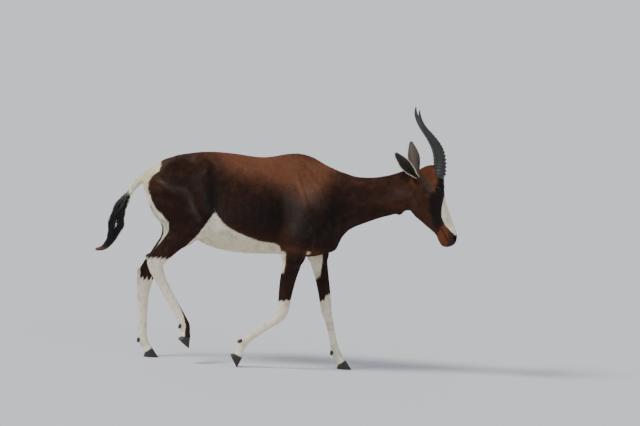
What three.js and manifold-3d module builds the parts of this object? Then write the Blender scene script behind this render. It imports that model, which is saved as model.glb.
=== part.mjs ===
// A life-size bontebok ram walking, as a still museum model in separate closed solids.
// Millimetres, +X towards the head, +Y to the animal's left, +Z up, floor at Z = 0.
// The flesh is described by sweeps: chains of elliptical sections, each station being
// [x, y, z, radius towards the front or back line, radius behind or below, radius to the side].
// Trunk, neck and head are smooth unions of sweeps; limbs, horns, ears and hair are lofts.
import * as THREE from "three";
import Module from "manifold-3d";

const wasm = await Module();
wasm.setup();

// Driving sizes
const GAP = 0.3; // kept between neighbouring pieces
const TRACK_FRONT = 79; // from the midline to the middle of a forefoot
const TRACK_HIND = 74; // from the midline to the middle of a hind foot
const LEG_CUT_HIND = 604; // height at which the hind legs part from the haunches
const LEG_CUT_FRONT = 486; // height at which the forelegs part from the chest
const SHOULDER_BLEND = 30;
const LIMB_SIDES = 12;

// Trunk and topline
const TRUNK = [
  [-440, 0, 752, 72, 78, 58],
  [-380, 0, 735, 141, 128, 94],
  [-305, 0, 716, 180, 118, 114],
  [-245, 0, 704, 198, 162, 120],
  [-185, 0, 696, 206, 196, 127],
  [-110, 0, 690, 208, 208, 136],
  [-20, 0, 685, 203, 206, 143],
  [70, 0, 690, 200, 207, 137],
  [150, 0, 695, 195, 214, 124],
  [230, 0, 695, 175, 214, 107],
  [285, 0, 690, 150, 190, 88],
  [326, 0, 672, 118, 128, 66],
];
const WITHERS = [
  [-40, 0, 836, 44, 60, 34],
  [30, 0, 846, 44, 60, 32],
  [95, 0, 867, 44, 70, 33],
  [150, 0, 873, 45, 80, 34],
  [205, 0, 858, 46, 80, 37],
  [265, 0, 818, 48, 80, 42],
];
const NECK = [
  [285, 0, 712, 140, 124, 84],
  [345, 0, 725, 124, 122, 73],
  [415, 0, 738, 99, 106, 61],
  [490, 0, 753, 87, 90, 55],
  [560, 0, 776, 80, 90, 52],
  [622, 0, 812, 68, 98, 50],
];

// Haunches, one row of stations for each side, because the walk sets them apart
const HAUNCH_RIGHT = [
  [-322, -66, 812, 88, 100, 50],
  [-318, -75, 725, 118, 142, 55],
  [-300, -77, 646, 128, 132, 50],
];
const HAUNCH_LEFT = [
  [-328, 66, 810, 88, 104, 50],
  [-334, 75, 720, 118, 148, 55],
  [-326, 77, 640, 122, 130, 50],
];
const HIND_LEG_RIGHT = [
  [-300, -77, 646, 128, 132, 50],
  [-313, -76, 572, 75, 84, 43],
  [-346, -75, 522, 44, 52, 34],
  [-392, -74, 469, 36, 41, 26],
  [-424, -74, 434, 37, 40, 24],
  [-424, -73, 404, 31, 34, 23],
  [-413, -73, 374, 26, 28, 20],
  [-396, -73, 340, 22, 23, 16],
  [-351, -73, 268, 19.5, 21, 13.5],
  [-317, -73, 216, 19, 20, 13.5],
  [-297, -73, 182, 20, 20, 16],
  [-287, -73, 160, 22, 23, 18.5],
  [-281, -73, 136, 18.5, 20, 16.5],
  [-280, -73, 112, 18, 19, 18],
];
const HIND_LEG_LEFT = [
  [-326, 77, 640, 122, 130, 50],
  [-335, 76, 568, 78, 84, 43],
  [-359, 76, 508, 52, 57, 34],
  [-400, 75, 454, 40, 44, 26],
  [-428, 75, 416, 37, 39, 24],
  [-450, 75, 380, 35, 37, 24],
  [-464, 75, 344, 34, 37, 22],
  [-468, 75, 310, 30, 32, 19.5],
  [-470, 75, 275, 26, 28, 16.5],
  [-470, 75, 225, 22.5, 24, 14],
  [-466, 75, 152, 19.5, 20, 13.5],
  [-463, 75, 106, 19, 20, 15],
  [-459, 75, 76, 21, 22, 18.5],
  [-446, 75, 50, 17.5, 19, 16.5],
  [-431, 75, 26, 18, 19, 18],
];

// Shoulder blades and upper arms
const SHOULDER_RIGHT = [
  [140, -38, 846, 42, 44, 24],
  [178, -70, 780, 58, 62, 32],
  [210, -82, 705, 66, 72, 36],
  [222, -86, 645, 68, 78, 38],
  [192, -86, 588, 60, 74, 37],
  [160, -84, 534, 52, 56, 34],
  [150, -82, 492, 48, 46, 30],
];
const SHOULDER_LEFT = [
  [150, 38, 846, 42, 44, 24],
  [190, 70, 780, 58, 62, 32],
  [224, 82, 705, 66, 72, 36],
  [242, 86, 645, 66, 80, 38],
  [240, 86, 588, 60, 72, 37],
  [252, 84, 534, 50, 54, 34],
  [262, 82, 490, 43, 44, 30],
];
const FORELEG_RIGHT = [
  [151, -82, 500, 49, 47, 30],
  [146, -81, 452, 41, 41, 28],
  [138, -80, 398, 34, 36, 25],
  [132, -80, 348, 29, 32, 22],
  [129, -79, 306, 26, 29, 20],
  [126, -79, 268, 25, 26, 20],
  [118, -79, 238, 23.5, 24, 21],
  [101, -79, 216, 21.5, 19, 19.5],
  [78, -79, 197, 18, 17, 15.5],
  [46, -79, 172, 16, 16, 12.5],
  [6, -79, 140, 15, 16, 12],
  [-20, -79, 119, 16, 18, 14],
  [-34, -79, 101, 19, 20, 17.5],
  [-46, -79, 75, 16, 17.5, 15.5],
  [-54, -79, 47, 17.5, 18.5, 18],
];
const FORELEG_LEFT = [
  [260, 82, 500, 44, 45, 30],
  [270, 81, 448, 38, 36, 27],
  [288, 80, 382, 30, 29, 23],
  [300, 80, 330, 27, 26, 21],
  [309, 79, 286, 25, 25, 20],
  [317, 79, 248, 21.5, 24, 20],
  [326, 79, 218, 18.5, 20, 17.5],
  [336, 79, 188, 16.5, 17.5, 14],
  [348, 79, 146, 15, 16, 12],
  [359, 79, 104, 15.5, 17, 13],
  [369, 79, 74, 18.5, 21, 17.5],
  [384, 79, 49, 16, 17.5, 15.5],
  [399, 79, 26, 17.5, 18.5, 18],
];

// Head: sections square to its long axis, from the crown down to the lips
const HEAD = [
  [694, 0, 852, 70, 60, 44],
  [716, 0, 822, 60, 74, 50],
  [727, 0, 794, 51, 90, 50],
  [738, 0, 766, 45, 102, 47],
  [749, 0, 738, 41, 109, 42],
  [760, 0, 711, 41, 94, 37],
  [771, 0, 683, 42, 75, 32.5],
  [783, 0, 655, 43, 56, 30],
  [794, 0, 627, 43.5, 43, 29.5],
  [802, 0, 607, 42.5, 40, 31],
  [809, 0, 589, 35, 36, 27],
];
const EYE = { x: 750, y: 43, z: 808, radius: 16 };
const HORN_SEAT = 882; // height at which the horn sheath meets the skull
const HORN = [
  [749, 27, 862, 23, 23, 21],
  [749, 29, 900, 24, 24, 21.5],
  [746, 34, 930, 24, 24, 21],
  [740, 43, 957, 22.5, 22.5, 19.5],
  [727, 56, 986, 20, 20, 17.5],
  [710, 70, 1011, 17, 17, 15.5],
  [692, 84, 1033, 14.5, 14.5, 13.5],
  [674, 97, 1054, 12.5, 12.5, 11.5],
  [658, 106, 1075, 10.5, 10.5, 10],
  [646, 112, 1097, 8.5, 8.5, 8],
  [639, 115, 1120, 6, 6, 5.6],
  [638, 114, 1146, 1.4, 1.4, 1.4],
];
const HORN_RINGS = 15;
const RING_HEIGHT = 0.13; // share of the horn's radius

// Tail
const DOCK = [
  [-404, 0, 830, 30, 26, 26],
  [-440, 0, 812, 27, 24, 23],
  [-478, 0, 790, 22, 20, 18.5],
  [-512, 0, 763, 17, 16, 15],
  [-540, 0, 730, 14, 14, 12.5],
  [-560, 0, 694, 11, 11, 10],
];
const TUFT_LINE = [
  [-550, 0, 716, 16, 16, 15],
  [-572, 0, 680, 23, 23, 19],
  [-592, 0, 642, 28, 28, 21],
  [-602, 0, 602, 33, 33, 22],
  [-606, 0, 562, 33, 33, 20],
  [-616, 0, 524, 25, 25, 16],
  [-628, 0, 492, 18, 18, 11],
  [-650, 0, 464, 11, 11, 8],
  [-690, 0, 450, 4, 4, 3],
];

const vec = (x, y, z) => new THREE.Vector3(x, y, z);
const mix = (a, b, t) => a + (b - a) * t;

// A smooth curve through the stations, all six numbers alike
function smoothStations(stations, perSpan) {
  const out = [];
  for (let i = 0; i < stations.length - 1; i++) {
    const [p0, p1, p2, p3] = [-1, 0, 1, 2].map(
      (k) => stations[Math.min(Math.max(i + k, 0), stations.length - 1)],
    );
    for (let j = 0; j < perSpan; j++) {
      const t = j / perSpan;
      out.push(
        p1.map((b, n) => {
          const slope1 = (p2[n] - p0[n]) / 2;
          const slope2 = (p3[n] - b) / 2;
          const rise = p2[n] - b;
          return b + t * (slope1 + t * (3 * rise - 2 * slope1 - slope2 + t * (slope1 + slope2 - 2 * rise)));
        }),
      );
    }
  }
  out.push([...stations[stations.length - 1]]);
  return out;
}

// The axes of a section: along the chain, to the side, and towards the front or back line
function sectionAxes(along, side = vec(0, 1, 0)) {
  const t = along.clone().normalize();
  const b = side.clone().addScaledVector(t, -side.dot(t)).normalize();
  return { t, b, n: new THREE.Vector3().crossVectors(t, b) };
}

// A sweep as a distance function: the nearest of its elliptical capsules
function sweep(stations, blend = 0, perSpan = 3) {
  const line = smoothStations(stations, perSpan);
  const pieces = [];
  for (let i = 0; i < line.length - 1; i++) {
    const [a, b] = [line[i], line[i + 1]];
    const from = vec(a[0], a[1], a[2]);
    const along = vec(b[0], b[1], b[2]).sub(from);
    pieces.push({ from, length: along.length(), ...sectionAxes(along), start: a, end: b });
  }
  const reach = Math.max(...line.flatMap((s) => s.slice(3)));
  const box = new THREE.Box3().setFromPoints(line.map((s) => vec(s[0], s[1], s[2]))).expandByScalar(reach);
  return { pieces, box, blend };
}

function capsuleDistance(x, y, z, p) {
  const dx = x - p.from.x;
  const dy = y - p.from.y;
  const dz = z - p.from.z;
  const w = dx * p.t.x + dy * p.t.y + dz * p.t.z;
  const h = Math.min(Math.max(w / p.length, 0), 1);
  const u = dx * p.n.x + dy * p.n.y + dz * p.n.z;
  const v = dx * p.b.x + dy * p.b.y + dz * p.b.z;
  const rn = u > 0 ? mix(p.start[3], p.end[3], h) : mix(p.start[4], p.end[4], h);
  const rb = mix(p.start[5], p.end[5], h);
  const rt = Math.min(rn, rb);
  const over = w - h * p.length;
  const [qu, qv, qw] = [u / rn, v / rb, over / rt];
  const q = Math.hypot(qu, qv, qw);
  if (q < 1e-6) return -rt;
  return ((q - 1) * q) / Math.hypot(qu / rn, qv / rb, qw / rt);
}

function sweepDistance(x, y, z, part) {
  let d = Infinity;
  for (const p of part.pieces) d = Math.min(d, capsuleDistance(x, y, z, p));
  return d;
}

// Smooth union of sweeps, each with its own depth of fillet
function fleshDistance(parts, x, y, z) {
  let d = 1e3;
  for (const part of parts) {
    const { min, max } = part.box;
    const off = Math.max(min.x - x, x - max.x, min.y - y, y - max.y, min.z - z, z - max.z);
    if (off > d + part.blend + 5) continue;
    const e = sweepDistance(x, y, z, part);
    const k = part.blend;
    const share = k > 0 ? Math.max(k - Math.abs(d - e), 0) / k : 0;
    d = Math.min(d, e) - (share * share * k) / 4;
  }
  return d;
}

// Surface nets: one vertex for each cell that the surface crosses, then drawn onto the surface
function polygonise(parts, lo, hi, cell) {
  const n = lo.map((l, i) => Math.ceil((hi[i] - l) / cell[i]) + 1);
  const at = (i, j, k) => (k * n[1] + j) * n[0] + i;
  const value = new Float32Array(n[0] * n[1] * n[2]);
  for (let k = 0; k < n[2]; k++)
    for (let j = 0; j < n[1]; j++)
      for (let i = 0; i < n[0]; i++) {
        const rim = i === 0 || j === 0 || k === 0 || i === n[0] - 1 || j === n[1] - 1 || k === n[2] - 1;
        const d = fleshDistance(parts, lo[0] + i * cell[0], lo[1] + j * cell[1], lo[2] + k * cell[2]);
        value[at(i, j, k)] = rim ? Math.max(d, 1) : d;
      }
  const corners = [0, 1, 2, 3, 4, 5, 6, 7].map((c) => [c & 1, (c >> 1) & 1, c >> 2]);
  const vertexOf = new Map();
  const points = [];
  for (let k = 0; k < n[2] - 1; k++)
    for (let j = 0; j < n[1] - 1; j++)
      for (let i = 0; i < n[0] - 1; i++) {
        const v = corners.map(([a, b, c]) => value[at(i + a, j + b, k + c)]);
        if (v.every((x) => x < 0) || v.every((x) => x >= 0)) continue;
        const sum = [0, 0, 0];
        let crossings = 0;
        for (let a = 0; a < 8; a++)
          for (const bit of [1, 2, 4]) {
            const b = a | bit;
            if (b === a || v[a] < 0 === v[b] < 0) continue;
            const t = v[a] / (v[a] - v[b]);
            for (let m = 0; m < 3; m++) sum[m] += mix(corners[a][m], corners[b][m], t);
            crossings++;
          }
        const base = [i, j, k];
        const p = sum.map((s, m) => lo[m] + (base[m] + s / crossings) * cell[m]);
        vertexOf.set(at(i, j, k), points.length);
        points.push(settle(parts, p, base.map((c, m) => lo[m] + c * cell[m]), cell));
      }
  const triangles = [];
  const steps = [at(1, 0, 0), at(0, 1, 0), at(0, 0, 1)];
  for (let k = 0; k < n[2] - 1; k++)
    for (let j = 0; j < n[1] - 1; j++)
      for (let i = 0; i < n[0] - 1; i++) {
        const here = at(i, j, k);
        for (let axis = 0; axis < 3; axis++) {
          const next = here + steps[axis];
          if (value[here] < 0 === value[next] < 0) continue;
          const [s1, s2] = [steps[(axis + 1) % 3], steps[(axis + 2) % 3]];
          const quad = [here - s1 - s2, here - s2, here, here - s1].map((c) => vertexOf.get(c));
          if (quad.some((q) => q === undefined)) continue;
          if (value[here] >= 0) quad.reverse();
          triangles.push(...splitQuad(points, quad));
        }
      }
  return solidFrom(points, triangles);
}

// Two Newton steps towards the surface, kept inside the vertex's own cell
function settle(parts, p, corner, cell) {
  const e = 0.5;
  let q = p;
  for (let step = 0; step < 2; step++) {
    const d = fleshDistance(parts, ...q);
    const g = [0, 1, 2].map((m) => {
      const ahead = [...q];
      ahead[m] += e;
      return (fleshDistance(parts, ...ahead) - d) / e;
    });
    const size = g[0] ** 2 + g[1] ** 2 + g[2] ** 2;
    if (size < 1e-4) break;
    const margin = 0.03;
    q = q.map((c, m) => {
      const moved = c - (d * g[m]) / size;
      return Math.min(Math.max(moved, corner[m] + margin * cell[m]), corner[m] + (1 - margin) * cell[m]);
    });
  }
  return q;
}

// The shorter diagonal parts a quad
function splitQuad(points, [a, b, c, d]) {
  const far = (m, n) => Math.hypot(...[0, 1, 2].map((i) => points[m][i] - points[n][i]));
  return far(a, c) <= far(b, d) ? [a, b, c, a, c, d] : [a, b, d, b, c, d];
}

function solidFrom(points, triangles) {
  const mesh = new wasm.Mesh({
    numProp: 3,
    vertProperties: new Float32Array(points.flat()),
    triVerts: new Uint32Array(triangles),
  });
  return new wasm.Manifold(mesh);
}

// Joins rings of equal length into a closed body, faces outwards. An end closes as a fan about its
// middle, or, where the ring runs out and back as a folded shell does, as a strip between the two.
function ringsToSolid(rings, folded = false) {
  const m = rings[0].length;
  const points = rings.flat();
  const triangles = [];
  for (let r = 0; r < rings.length - 1; r++)
    for (let i = 0; i < m; i++) {
      const j = (i + 1) % m;
      triangles.push(...splitQuad(points, [r * m + i, r * m + j, (r + 1) * m + j, (r + 1) * m + i]));
    }
  const top = (rings.length - 1) * m;
  if (folded) {
    for (let i = 0; i < m / 2 - 1; i++) {
      const back = m - 1 - i;
      triangles.push(i, back, back - 1, i, back - 1, i + 1);
      triangles.push(top + i, top + i + 1, top + back - 1, top + i, top + back - 1, top + back);
    }
    return facingOut(points, triangles);
  }
  const middle = (ring) => [0, 1, 2].map((a) => ring.reduce((s, p) => s + p[a], 0) / m);
  const first = points.push(middle(rings[0])) - 1;
  const last = points.push(middle(rings[rings.length - 1])) - 1;
  for (let i = 0; i < m; i++) {
    const j = (i + 1) % m;
    triangles.push(first, j, i, last, top + i, top + j);
  }
  return facingOut(points, triangles);
}

// Turns a closed surface the right way round if it came out inside out
function facingOut(points, triangles) {
  const made = solidFrom(points, triangles);
  if (made.volume() > 0) return made;
  for (let i = 0; i < triangles.length; i += 3)
    [triangles[i + 1], triangles[i + 2]] = [triangles[i + 2], triangles[i + 1]];
  return solidFrom(points, triangles);
}

// A loft along smooth stations; swell may raise the section at share s of the length and angle a
function loft(stations, sides, perSpan, swell = () => 1, side = vec(0, 1, 0)) {
  const line = smoothStations(stations, perSpan);
  const rings = line.map((s, i) => {
    const before = line[Math.max(i - 1, 0)];
    const after = line[Math.min(i + 1, line.length - 1)];
    const axes = sectionAxes(vec(after[0] - before[0], after[1] - before[1], after[2] - before[2]), side);
    return Array.from({ length: sides }, (_, k) => {
      const angle = (2 * Math.PI * k) / sides;
      const [c, b] = [Math.cos(angle), Math.sin(angle)];
      const raise = swell(i / (line.length - 1), angle);
      const u = c * (c > 0 ? s[3] : s[4]) * raise;
      const v = b * s[5] * raise;
      return [0, 1, 2].map((m) => {
        const axis = ["x", "y", "z"][m];
        return s[m] + u * axes.n[axis] + v * axes.b[axis];
      });
    });
  });
  return ringsToSolid(rings);
}

// The same mesh with each vertex moved out along its normal, used to leave the gap
function grown(solid, by) {
  const mesh = solid.getMesh();
  const normals = new Float64Array(mesh.numVert * 3);
  const get = (v) => [0, 1, 2].map((m) => mesh.vertProperties[v * mesh.numProp + m]);
  for (let t = 0; t < mesh.numTri; t++) {
    const ids = [0, 1, 2].map((c) => mesh.triVerts[t * 3 + c]);
    const [a, b, c] = ids.map((v) => vec(...get(v)));
    const n = b.sub(a).cross(c.sub(a));
    ids.forEach((v) => ["x", "y", "z"].forEach((axis, m) => (normals[v * 3 + m] += n[axis])));
  }
  const points = [];
  for (let v = 0; v < mesh.numVert; v++) {
    const n = vec(normals[v * 3], normals[v * 3 + 1], normals[v * 3 + 2]).normalize();
    const p = get(v);
    points.push([p[0] + n.x * by, p[1] + n.y * by, p[2] + n.z * by]);
  }
  return solidFrom(points, Array.from(mesh.triVerts));
}

// A closed tube: rings whose last one joins the first
function hoopToSolid(rings) {
  const m = rings[0].length;
  const points = rings.flat();
  const triangles = [];
  rings.forEach((_, r) => {
    const next = ((r + 1) % rings.length) * m;
    for (let i = 0; i < m; i++) {
      const j = (i + 1) % m;
      triangles.push(...splitQuad(points, [r * m + i, r * m + j, next + j, next + i]));
    }
  });
  return facingOut(points, triangles);
}

// A plate with the given outline in X and Z, from y0 to y1
const prism = (outline, y0, y1) => ringsToSolid([y0, y1].map((y) => outline.map(([x, z]) => [x, y, z])));

// The hollow in which a piece sits: the piece grown by the gap, from the plane of its seat on
function bed(solid, point, normal) {
  const n = vec(...normal).normalize();
  return grown(solid, GAP).trimByPlane([n.x, n.y, n.z], n.dot(vec(...point)) - GAP / 2);
}

// Draws together the ends of edges that a cut left too short to matter
const SHORTEST_EDGE = 0.05;
function welded(solid) {
  const mesh = solid.getMesh();
  const points = Array.from({ length: mesh.numVert }, (_, v) =>
    [0, 1, 2].map((m) => mesh.vertProperties[v * mesh.numProp + m]),
  );
  const head = points.map((_, v) => v);
  const find = (v) => (head[v] === v ? v : (head[v] = find(head[v])));
  for (let t = 0; t < mesh.numTri; t++)
    for (let c = 0; c < 3; c++) {
      const [a, b] = [mesh.triVerts[t * 3 + c], mesh.triVerts[t * 3 + ((c + 1) % 3)]];
      const length = Math.hypot(...[0, 1, 2].map((m) => points[a][m] - points[b][m]));
      if (length < SHORTEST_EDGE) head[find(a)] = find(b);
    }
  const triangles = [];
  for (let t = 0; t < mesh.numTri; t++) {
    const ids = [0, 1, 2].map((c) => find(mesh.triVerts[t * 3 + c]));
    if (new Set(ids).size === 3) triangles.push(...ids);
  }
  const used = [...new Set(triangles)];
  const place = new Map(used.map((v, i) => [v, i]));
  return solidFrom(used.map((v) => points[v]), triangles.map((v) => place.get(v)));
}

// The largest closed surface, so that sealed hollows fill and scraps go
function largest(solid) {
  const bodies = solid.decompose();
  return bodies.reduce((best, b) => (b.volume() > best.volume() ? b : best), bodies[0]);
}

// Keeps what lies on the side that the normal points to, GAP / 2 away from the plane
function keep(solid, point, normal) {
  const n = vec(...normal).normalize();
  return solid.trimByPlane([n.x, n.y, n.z], n.dot(vec(...point)) + GAP / 2);
}
const opposite = (n) => n.map((c) => -c);

// Cuts between neighbours: a point on the plane, and its normal towards the head or the foot
const NECK_BASE = { point: [345, 0, 727], normal: [0.95, 0, 0.22] };
const NECK_TOP = { point: [617, 0, 800], normal: [0.99, 0, 0.05] };

const FLANK = { point: [-194, 0, LEG_CUT_HIND], normal: [-0.73, 0, 0.69] };

const flesh = [
  sweep(TRUNK, 0, 3),
  sweep(WITHERS, 26, 2),
  sweep(NECK, 40, 3),
  sweep(HAUNCH_RIGHT, 34, 3),
  sweep(HAUNCH_LEFT, 34, 3),
  sweep(SHOULDER_RIGHT, SHOULDER_BLEND, 3),
  sweep(SHOULDER_LEFT, SHOULDER_BLEND, 3),
  // hip bones, and the wall of muscle before them
  sweep([[-262, 62, 866, 22, 22, 22], [-232, 84, 842, 22, 22, 22]], 34, 1),
  sweep([[-262, -62, 866, 22, 22, 22], [-232, -84, 842, 22, 22, 22]], 34, 1),
  // seat bones under the tail
  sweep([[-446, 40, 770, 24, 26, 26], [-462, 34, 742, 26, 26, 26]], 30, 1),
  sweep([[-446, -40, 770, 24, 26, 26], [-462, -34, 742, 26, 26, 26]], 30, 1),
  // breast
  sweep([[318, 0, 610, 46, 46, 40], [300, 0, 545, 42, 42, 36]], 30, 1),
];

const side = (y) => (y > 0 ? "left" : "right");
const BOTH = [1, -1];
const headFlesh = [
  sweep(NECK, 0, 3),
  sweep(HEAD, 34, 3),
  ...BOTH.flatMap((s) => [
    // horn seats
    sweep([[744, s * 22, 846, 24, 24, 21], [749, s * 27, 880, 23, 23, 21]], 16, 1),
    // brow and cheek bone around the eye
    sweep(
      [[742, s * 34, 822, 24, 24, 20], [752, s * 36, 800, 22, 22, 20], [760, s * 26, 776, 16, 20, 16]],
      14,
      2,
    ),
    // chewing muscle and angle of the jaw
    sweep(
      [[706, s * 26, 778, 34, 34, 22], [690, s * 24, 730, 30, 30, 18], [706, s * 18, 694, 24, 24, 14]],
      18,
      2,
    ),
    // nostril wings
    sweep(
      [[822, s * 14, 634, 14, 16, 13], [830, s * 16, 608, 13, 14, 14], [828, s * 14, 594, 10, 12, 11]],
      10,
      2,
    ),
    // ear roots
    sweep([[664, s * 34, 838, 24, 24, 20], [653, s * 47, 862, 20, 20, 17]], 16, 1),
  ]),
  // upper lip and chin
  sweep([[822, 0, 604, 18, 22, 24], [822, 0, 590, 15, 16, 20]], 12, 1),
  sweep([[790, 0, 600, 22, 22, 22], [796, 0, 584, 17, 16, 17]], 12, 1),
  // small wattle of the throat
  sweep([[586, 0, 706, 14, 14, 10], [598, 0, 698, 12, 12, 9]], 14, 1),
];

const nodes = {};
const put = (name, solid, look) => {
  nodes[name] = { solid: largest(welded(largest(solid))), look };
};
const LOOKS = {
  brown: { color: 0x3a1a0e, roughness: 0.62 },
  white: { color: 0xd8d0bd, roughness: 0.75 },
  head: { color: 0x3f1c10, roughness: 0.6 },
  ear: { color: 0x6a6258, roughness: 0.8 },
  horn: { color: 0x2b2c29, roughness: 0.5 },
  hoof: { color: 0x1d1b19, roughness: 0.4 },
  eye: { color: 0x120b07, roughness: 0.05 },
  black: { color: 0x161412, roughness: 0.7 },
};

// Legs, as one loft each, cut at the hock or knee and at the fetlock
const LEGS = {
  hind_right: {
    line: HIND_LEG_RIGHT,
    root: LEG_CUT_HIND,
    joint: { point: [-421, 0, 392], normal: [0.38, 0, -0.92] },
    fetlock: { point: [-296, 0, 166], normal: [0.49, 0, -0.87] },
    heel: [[-424, 432, 20], [-447, 441, 16], [-461, 448, 11.5]],
    foot: { at: [-280, 112], pitch: 38 },
  },
  hind_left: {
    line: HIND_LEG_LEFT,
    root: LEG_CUT_HIND,
    joint: { point: [-466, 0, 330], normal: [-0.12, 0, -1] },
    fetlock: { point: [-462, 0, 90], normal: [0.15, 0, -0.99] },
    heel: [[-456, 366, 20], [-482, 365, 16], [-493, 365, 11.5]],
    foot: { at: [-431, 26], pitch: 0 },
  },
  fore_right: {
    line: FORELEG_RIGHT,
    root: LEG_CUT_FRONT,
    joint: { point: [108, 0, 226], normal: [-0.45, 0, -0.89] },
    fetlock: { point: [-26, 0, 112], normal: [-0.72, 0, -0.69] },
    foot: { at: [-54, 47], pitch: 60 },
  },
  fore_left: {
    line: FORELEG_LEFT,
    root: LEG_CUT_FRONT,
    joint: { point: [320, 0, 234], normal: [0.25, 0, -0.97] },
    fetlock: { point: [365, 0, 86], normal: [0.3, 0, -0.95] },
    foot: { at: [399, 26], pitch: 0 },
  },
};

// One claw of a hoof in the standing foot's own frame: u forward, w up, sole at w = -height
const HOOF = {
  height: 26,
  coronetTilt: 0.6,
  halfLength: 16,
  halfWidth: 9.4,
  toe: 42,
  heel: -20,
  soleHalfWidth: 12,
};
const HOOF_SIDES = 12;
function clawRings(outward) {
  const middle = (HOOF.toe + HOOF.heel) / 2;
  const reach = (HOOF.toe - HOOF.heel) / 2;
  return [0, 0.5, 1].map((level) =>
    Array.from({ length: HOOF_SIDES }, (_, k) => {
      const angle = (2 * Math.PI * k) / HOOF_SIDES;
      const [c, s] = [Math.cos(angle), Math.sin(angle)];
      // the sole narrows to the toe, and its inner wall is nearly straight
      const narrow = c > 0 ? 1 - 0.45 * c * c : 1;
      const inner = s * outward < 0 ? 0.8 : 1;
      const swell = 0.8 * Math.sin(Math.PI * level);
      const width = mix(HOOF.halfWidth, HOOF.soleHalfWidth * narrow, level) + swell;
      const top = c * HOOF.halfLength;
      return [
        mix(top, middle + c * reach, level),
        s * width * inner,
        mix(top * HOOF.coronetTilt, -HOOF.height, level),
      ];
    }),
  );
}
function footTransform({ at, pitch }, y) {
  return new THREE.Matrix4()
    .makeTranslation(at[0], y, at[1])
    .multiply(new THREE.Matrix4().makeRotationY(THREE.MathUtils.degToRad(pitch)));
}
const moved = (p, m) => vec(...p).applyMatrix4(m).toArray();

for (const [name, leg] of Object.entries(LEGS)) {
  const y = leg.line[leg.line.length - 1][1];
  const s = Math.sign(y);
  const place = footTransform(leg.foot, y);
  let whole = loft(leg.line, LIMB_SIDES, 2);
  if (leg.heel) {
    const point = leg.heel.map(([x, z, r]) => [x, y, z, r, r, r * 0.8]);
    whole = whole.add(loft(point, 10, 1));
  }
  // dewclaws, rooted in the back of the fetlock
  const back = leg.line.length - 3;
  const [fx, , fz, , rear] = leg.line[back];
  const [px, , pz] = leg.line[back + 1];
  const down = vec(px - fx, 0, pz - fz).normalize();
  const behind = vec(down.z, 0, -down.x);
  for (const t of BOTH) {
    const start = vec(fx, y + t * 9, fz).addScaledVector(behind, rear * 0.55).addScaledVector(down, 4);
    const end = start.clone().addScaledVector(behind, 14).addScaledVector(down, 13);
    const claw = [
      [start.x, start.y, start.z, 8, 8, 7],
      [mix(start.x, end.x, 0.6), y + t * 11, mix(start.z, end.z, 0.6), 7, 7, 6],
      [end.x, y + t * 12, end.z, 3.5, 3.5, 3.5],
    ];
    whole = whole.add(loft(claw, 6, 1));
  }
  const coronet = moved([0, 0, 0], place);
  const sole = vec(HOOF.coronetTilt, 0, -1).transformDirection(place).toArray();
  let upper = keep(keep(whole, [0, 0, leg.root], [0, 0, -1]), leg.joint.point, opposite(leg.joint.normal));
  if (leg.heel) upper = keep(upper, FLANK.point, FLANK.normal);
  const shank = keep(whole, leg.joint.point, leg.joint.normal);
  const cannon = keep(shank, leg.fetlock.point, opposite(leg.fetlock.normal));
  const pastern = keep(keep(whole, leg.fetlock.point, leg.fetlock.normal), coronet, opposite(sole));
  const isFore = name.startsWith("fore");
  put(`${name}_${isFore ? "forearm" : "thigh"}`, upper, LOOKS.brown);
  put(`${name}_cannon`, cannon, LOOKS.white);
  put(`${name}_pastern`, pastern, LOOKS.white);
  for (const t of BOTH) {
    const outward = t * s;
    const rings = clawRings(t).map((ring) =>
      ring.map(([u, v, w]) => moved([u, v + t * (HOOF.halfWidth + 1.2), w], place)),
    );
    let claw = keep(ringsToSolid(rings), coronet, sole);
    claw = claw.trimByPlane([0, 0, 1], 0);
    put(`${name}_hoof_${outward > 0 ? "outer" : "inner"}`, claw, LOOKS.hoof);
  }
}

// Trunk, with the room for the legs cut out below it and the tail let into it
let trunk = polygonise(flesh, [-540, -200, 440], [430, 200, 960], [37, 27, 31]);
trunk = keep(trunk, NECK_BASE.point, opposite(NECK_BASE.normal));
const hindCut = LEG_CUT_HIND + GAP / 2;
const underHaunch = [[-600, hindCut], [-194, hindCut], [-245, 550], [-330, 460], [-330, 300], [-600, 300]];
trunk = trunk.subtract(prism(underHaunch, -220, 220));
const foreCut = LEG_CUT_FRONT + GAP / 2;
const underShoulder = [[40, foreCut], [350, foreCut], [350, 380], [40, 380]];
for (const s of BOTH) trunk = trunk.subtract(prism(underShoulder, s * 42, s * 220));
const DOCK_SEAT = { point: [-430, 0, 818], normal: [-0.83, 0, -0.55] };
const TUFT_SEAT = { point: [-552, 0, 708], normal: [-0.48, 0, -0.88] };
const dockWhole = loft(DOCK, 12, 2);
trunk = trunk.subtract(bed(dockWhole, DOCK_SEAT.point, DOCK_SEAT.normal));
put("torso", trunk, LOOKS.brown);

const dockTail = keep(dockWhole, DOCK_SEAT.point, DOCK_SEAT.normal);
const dock = keep(dockTail, TUFT_SEAT.point, opposite(TUFT_SEAT.normal));
put("tail_dock", dock, LOOKS.white);

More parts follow.
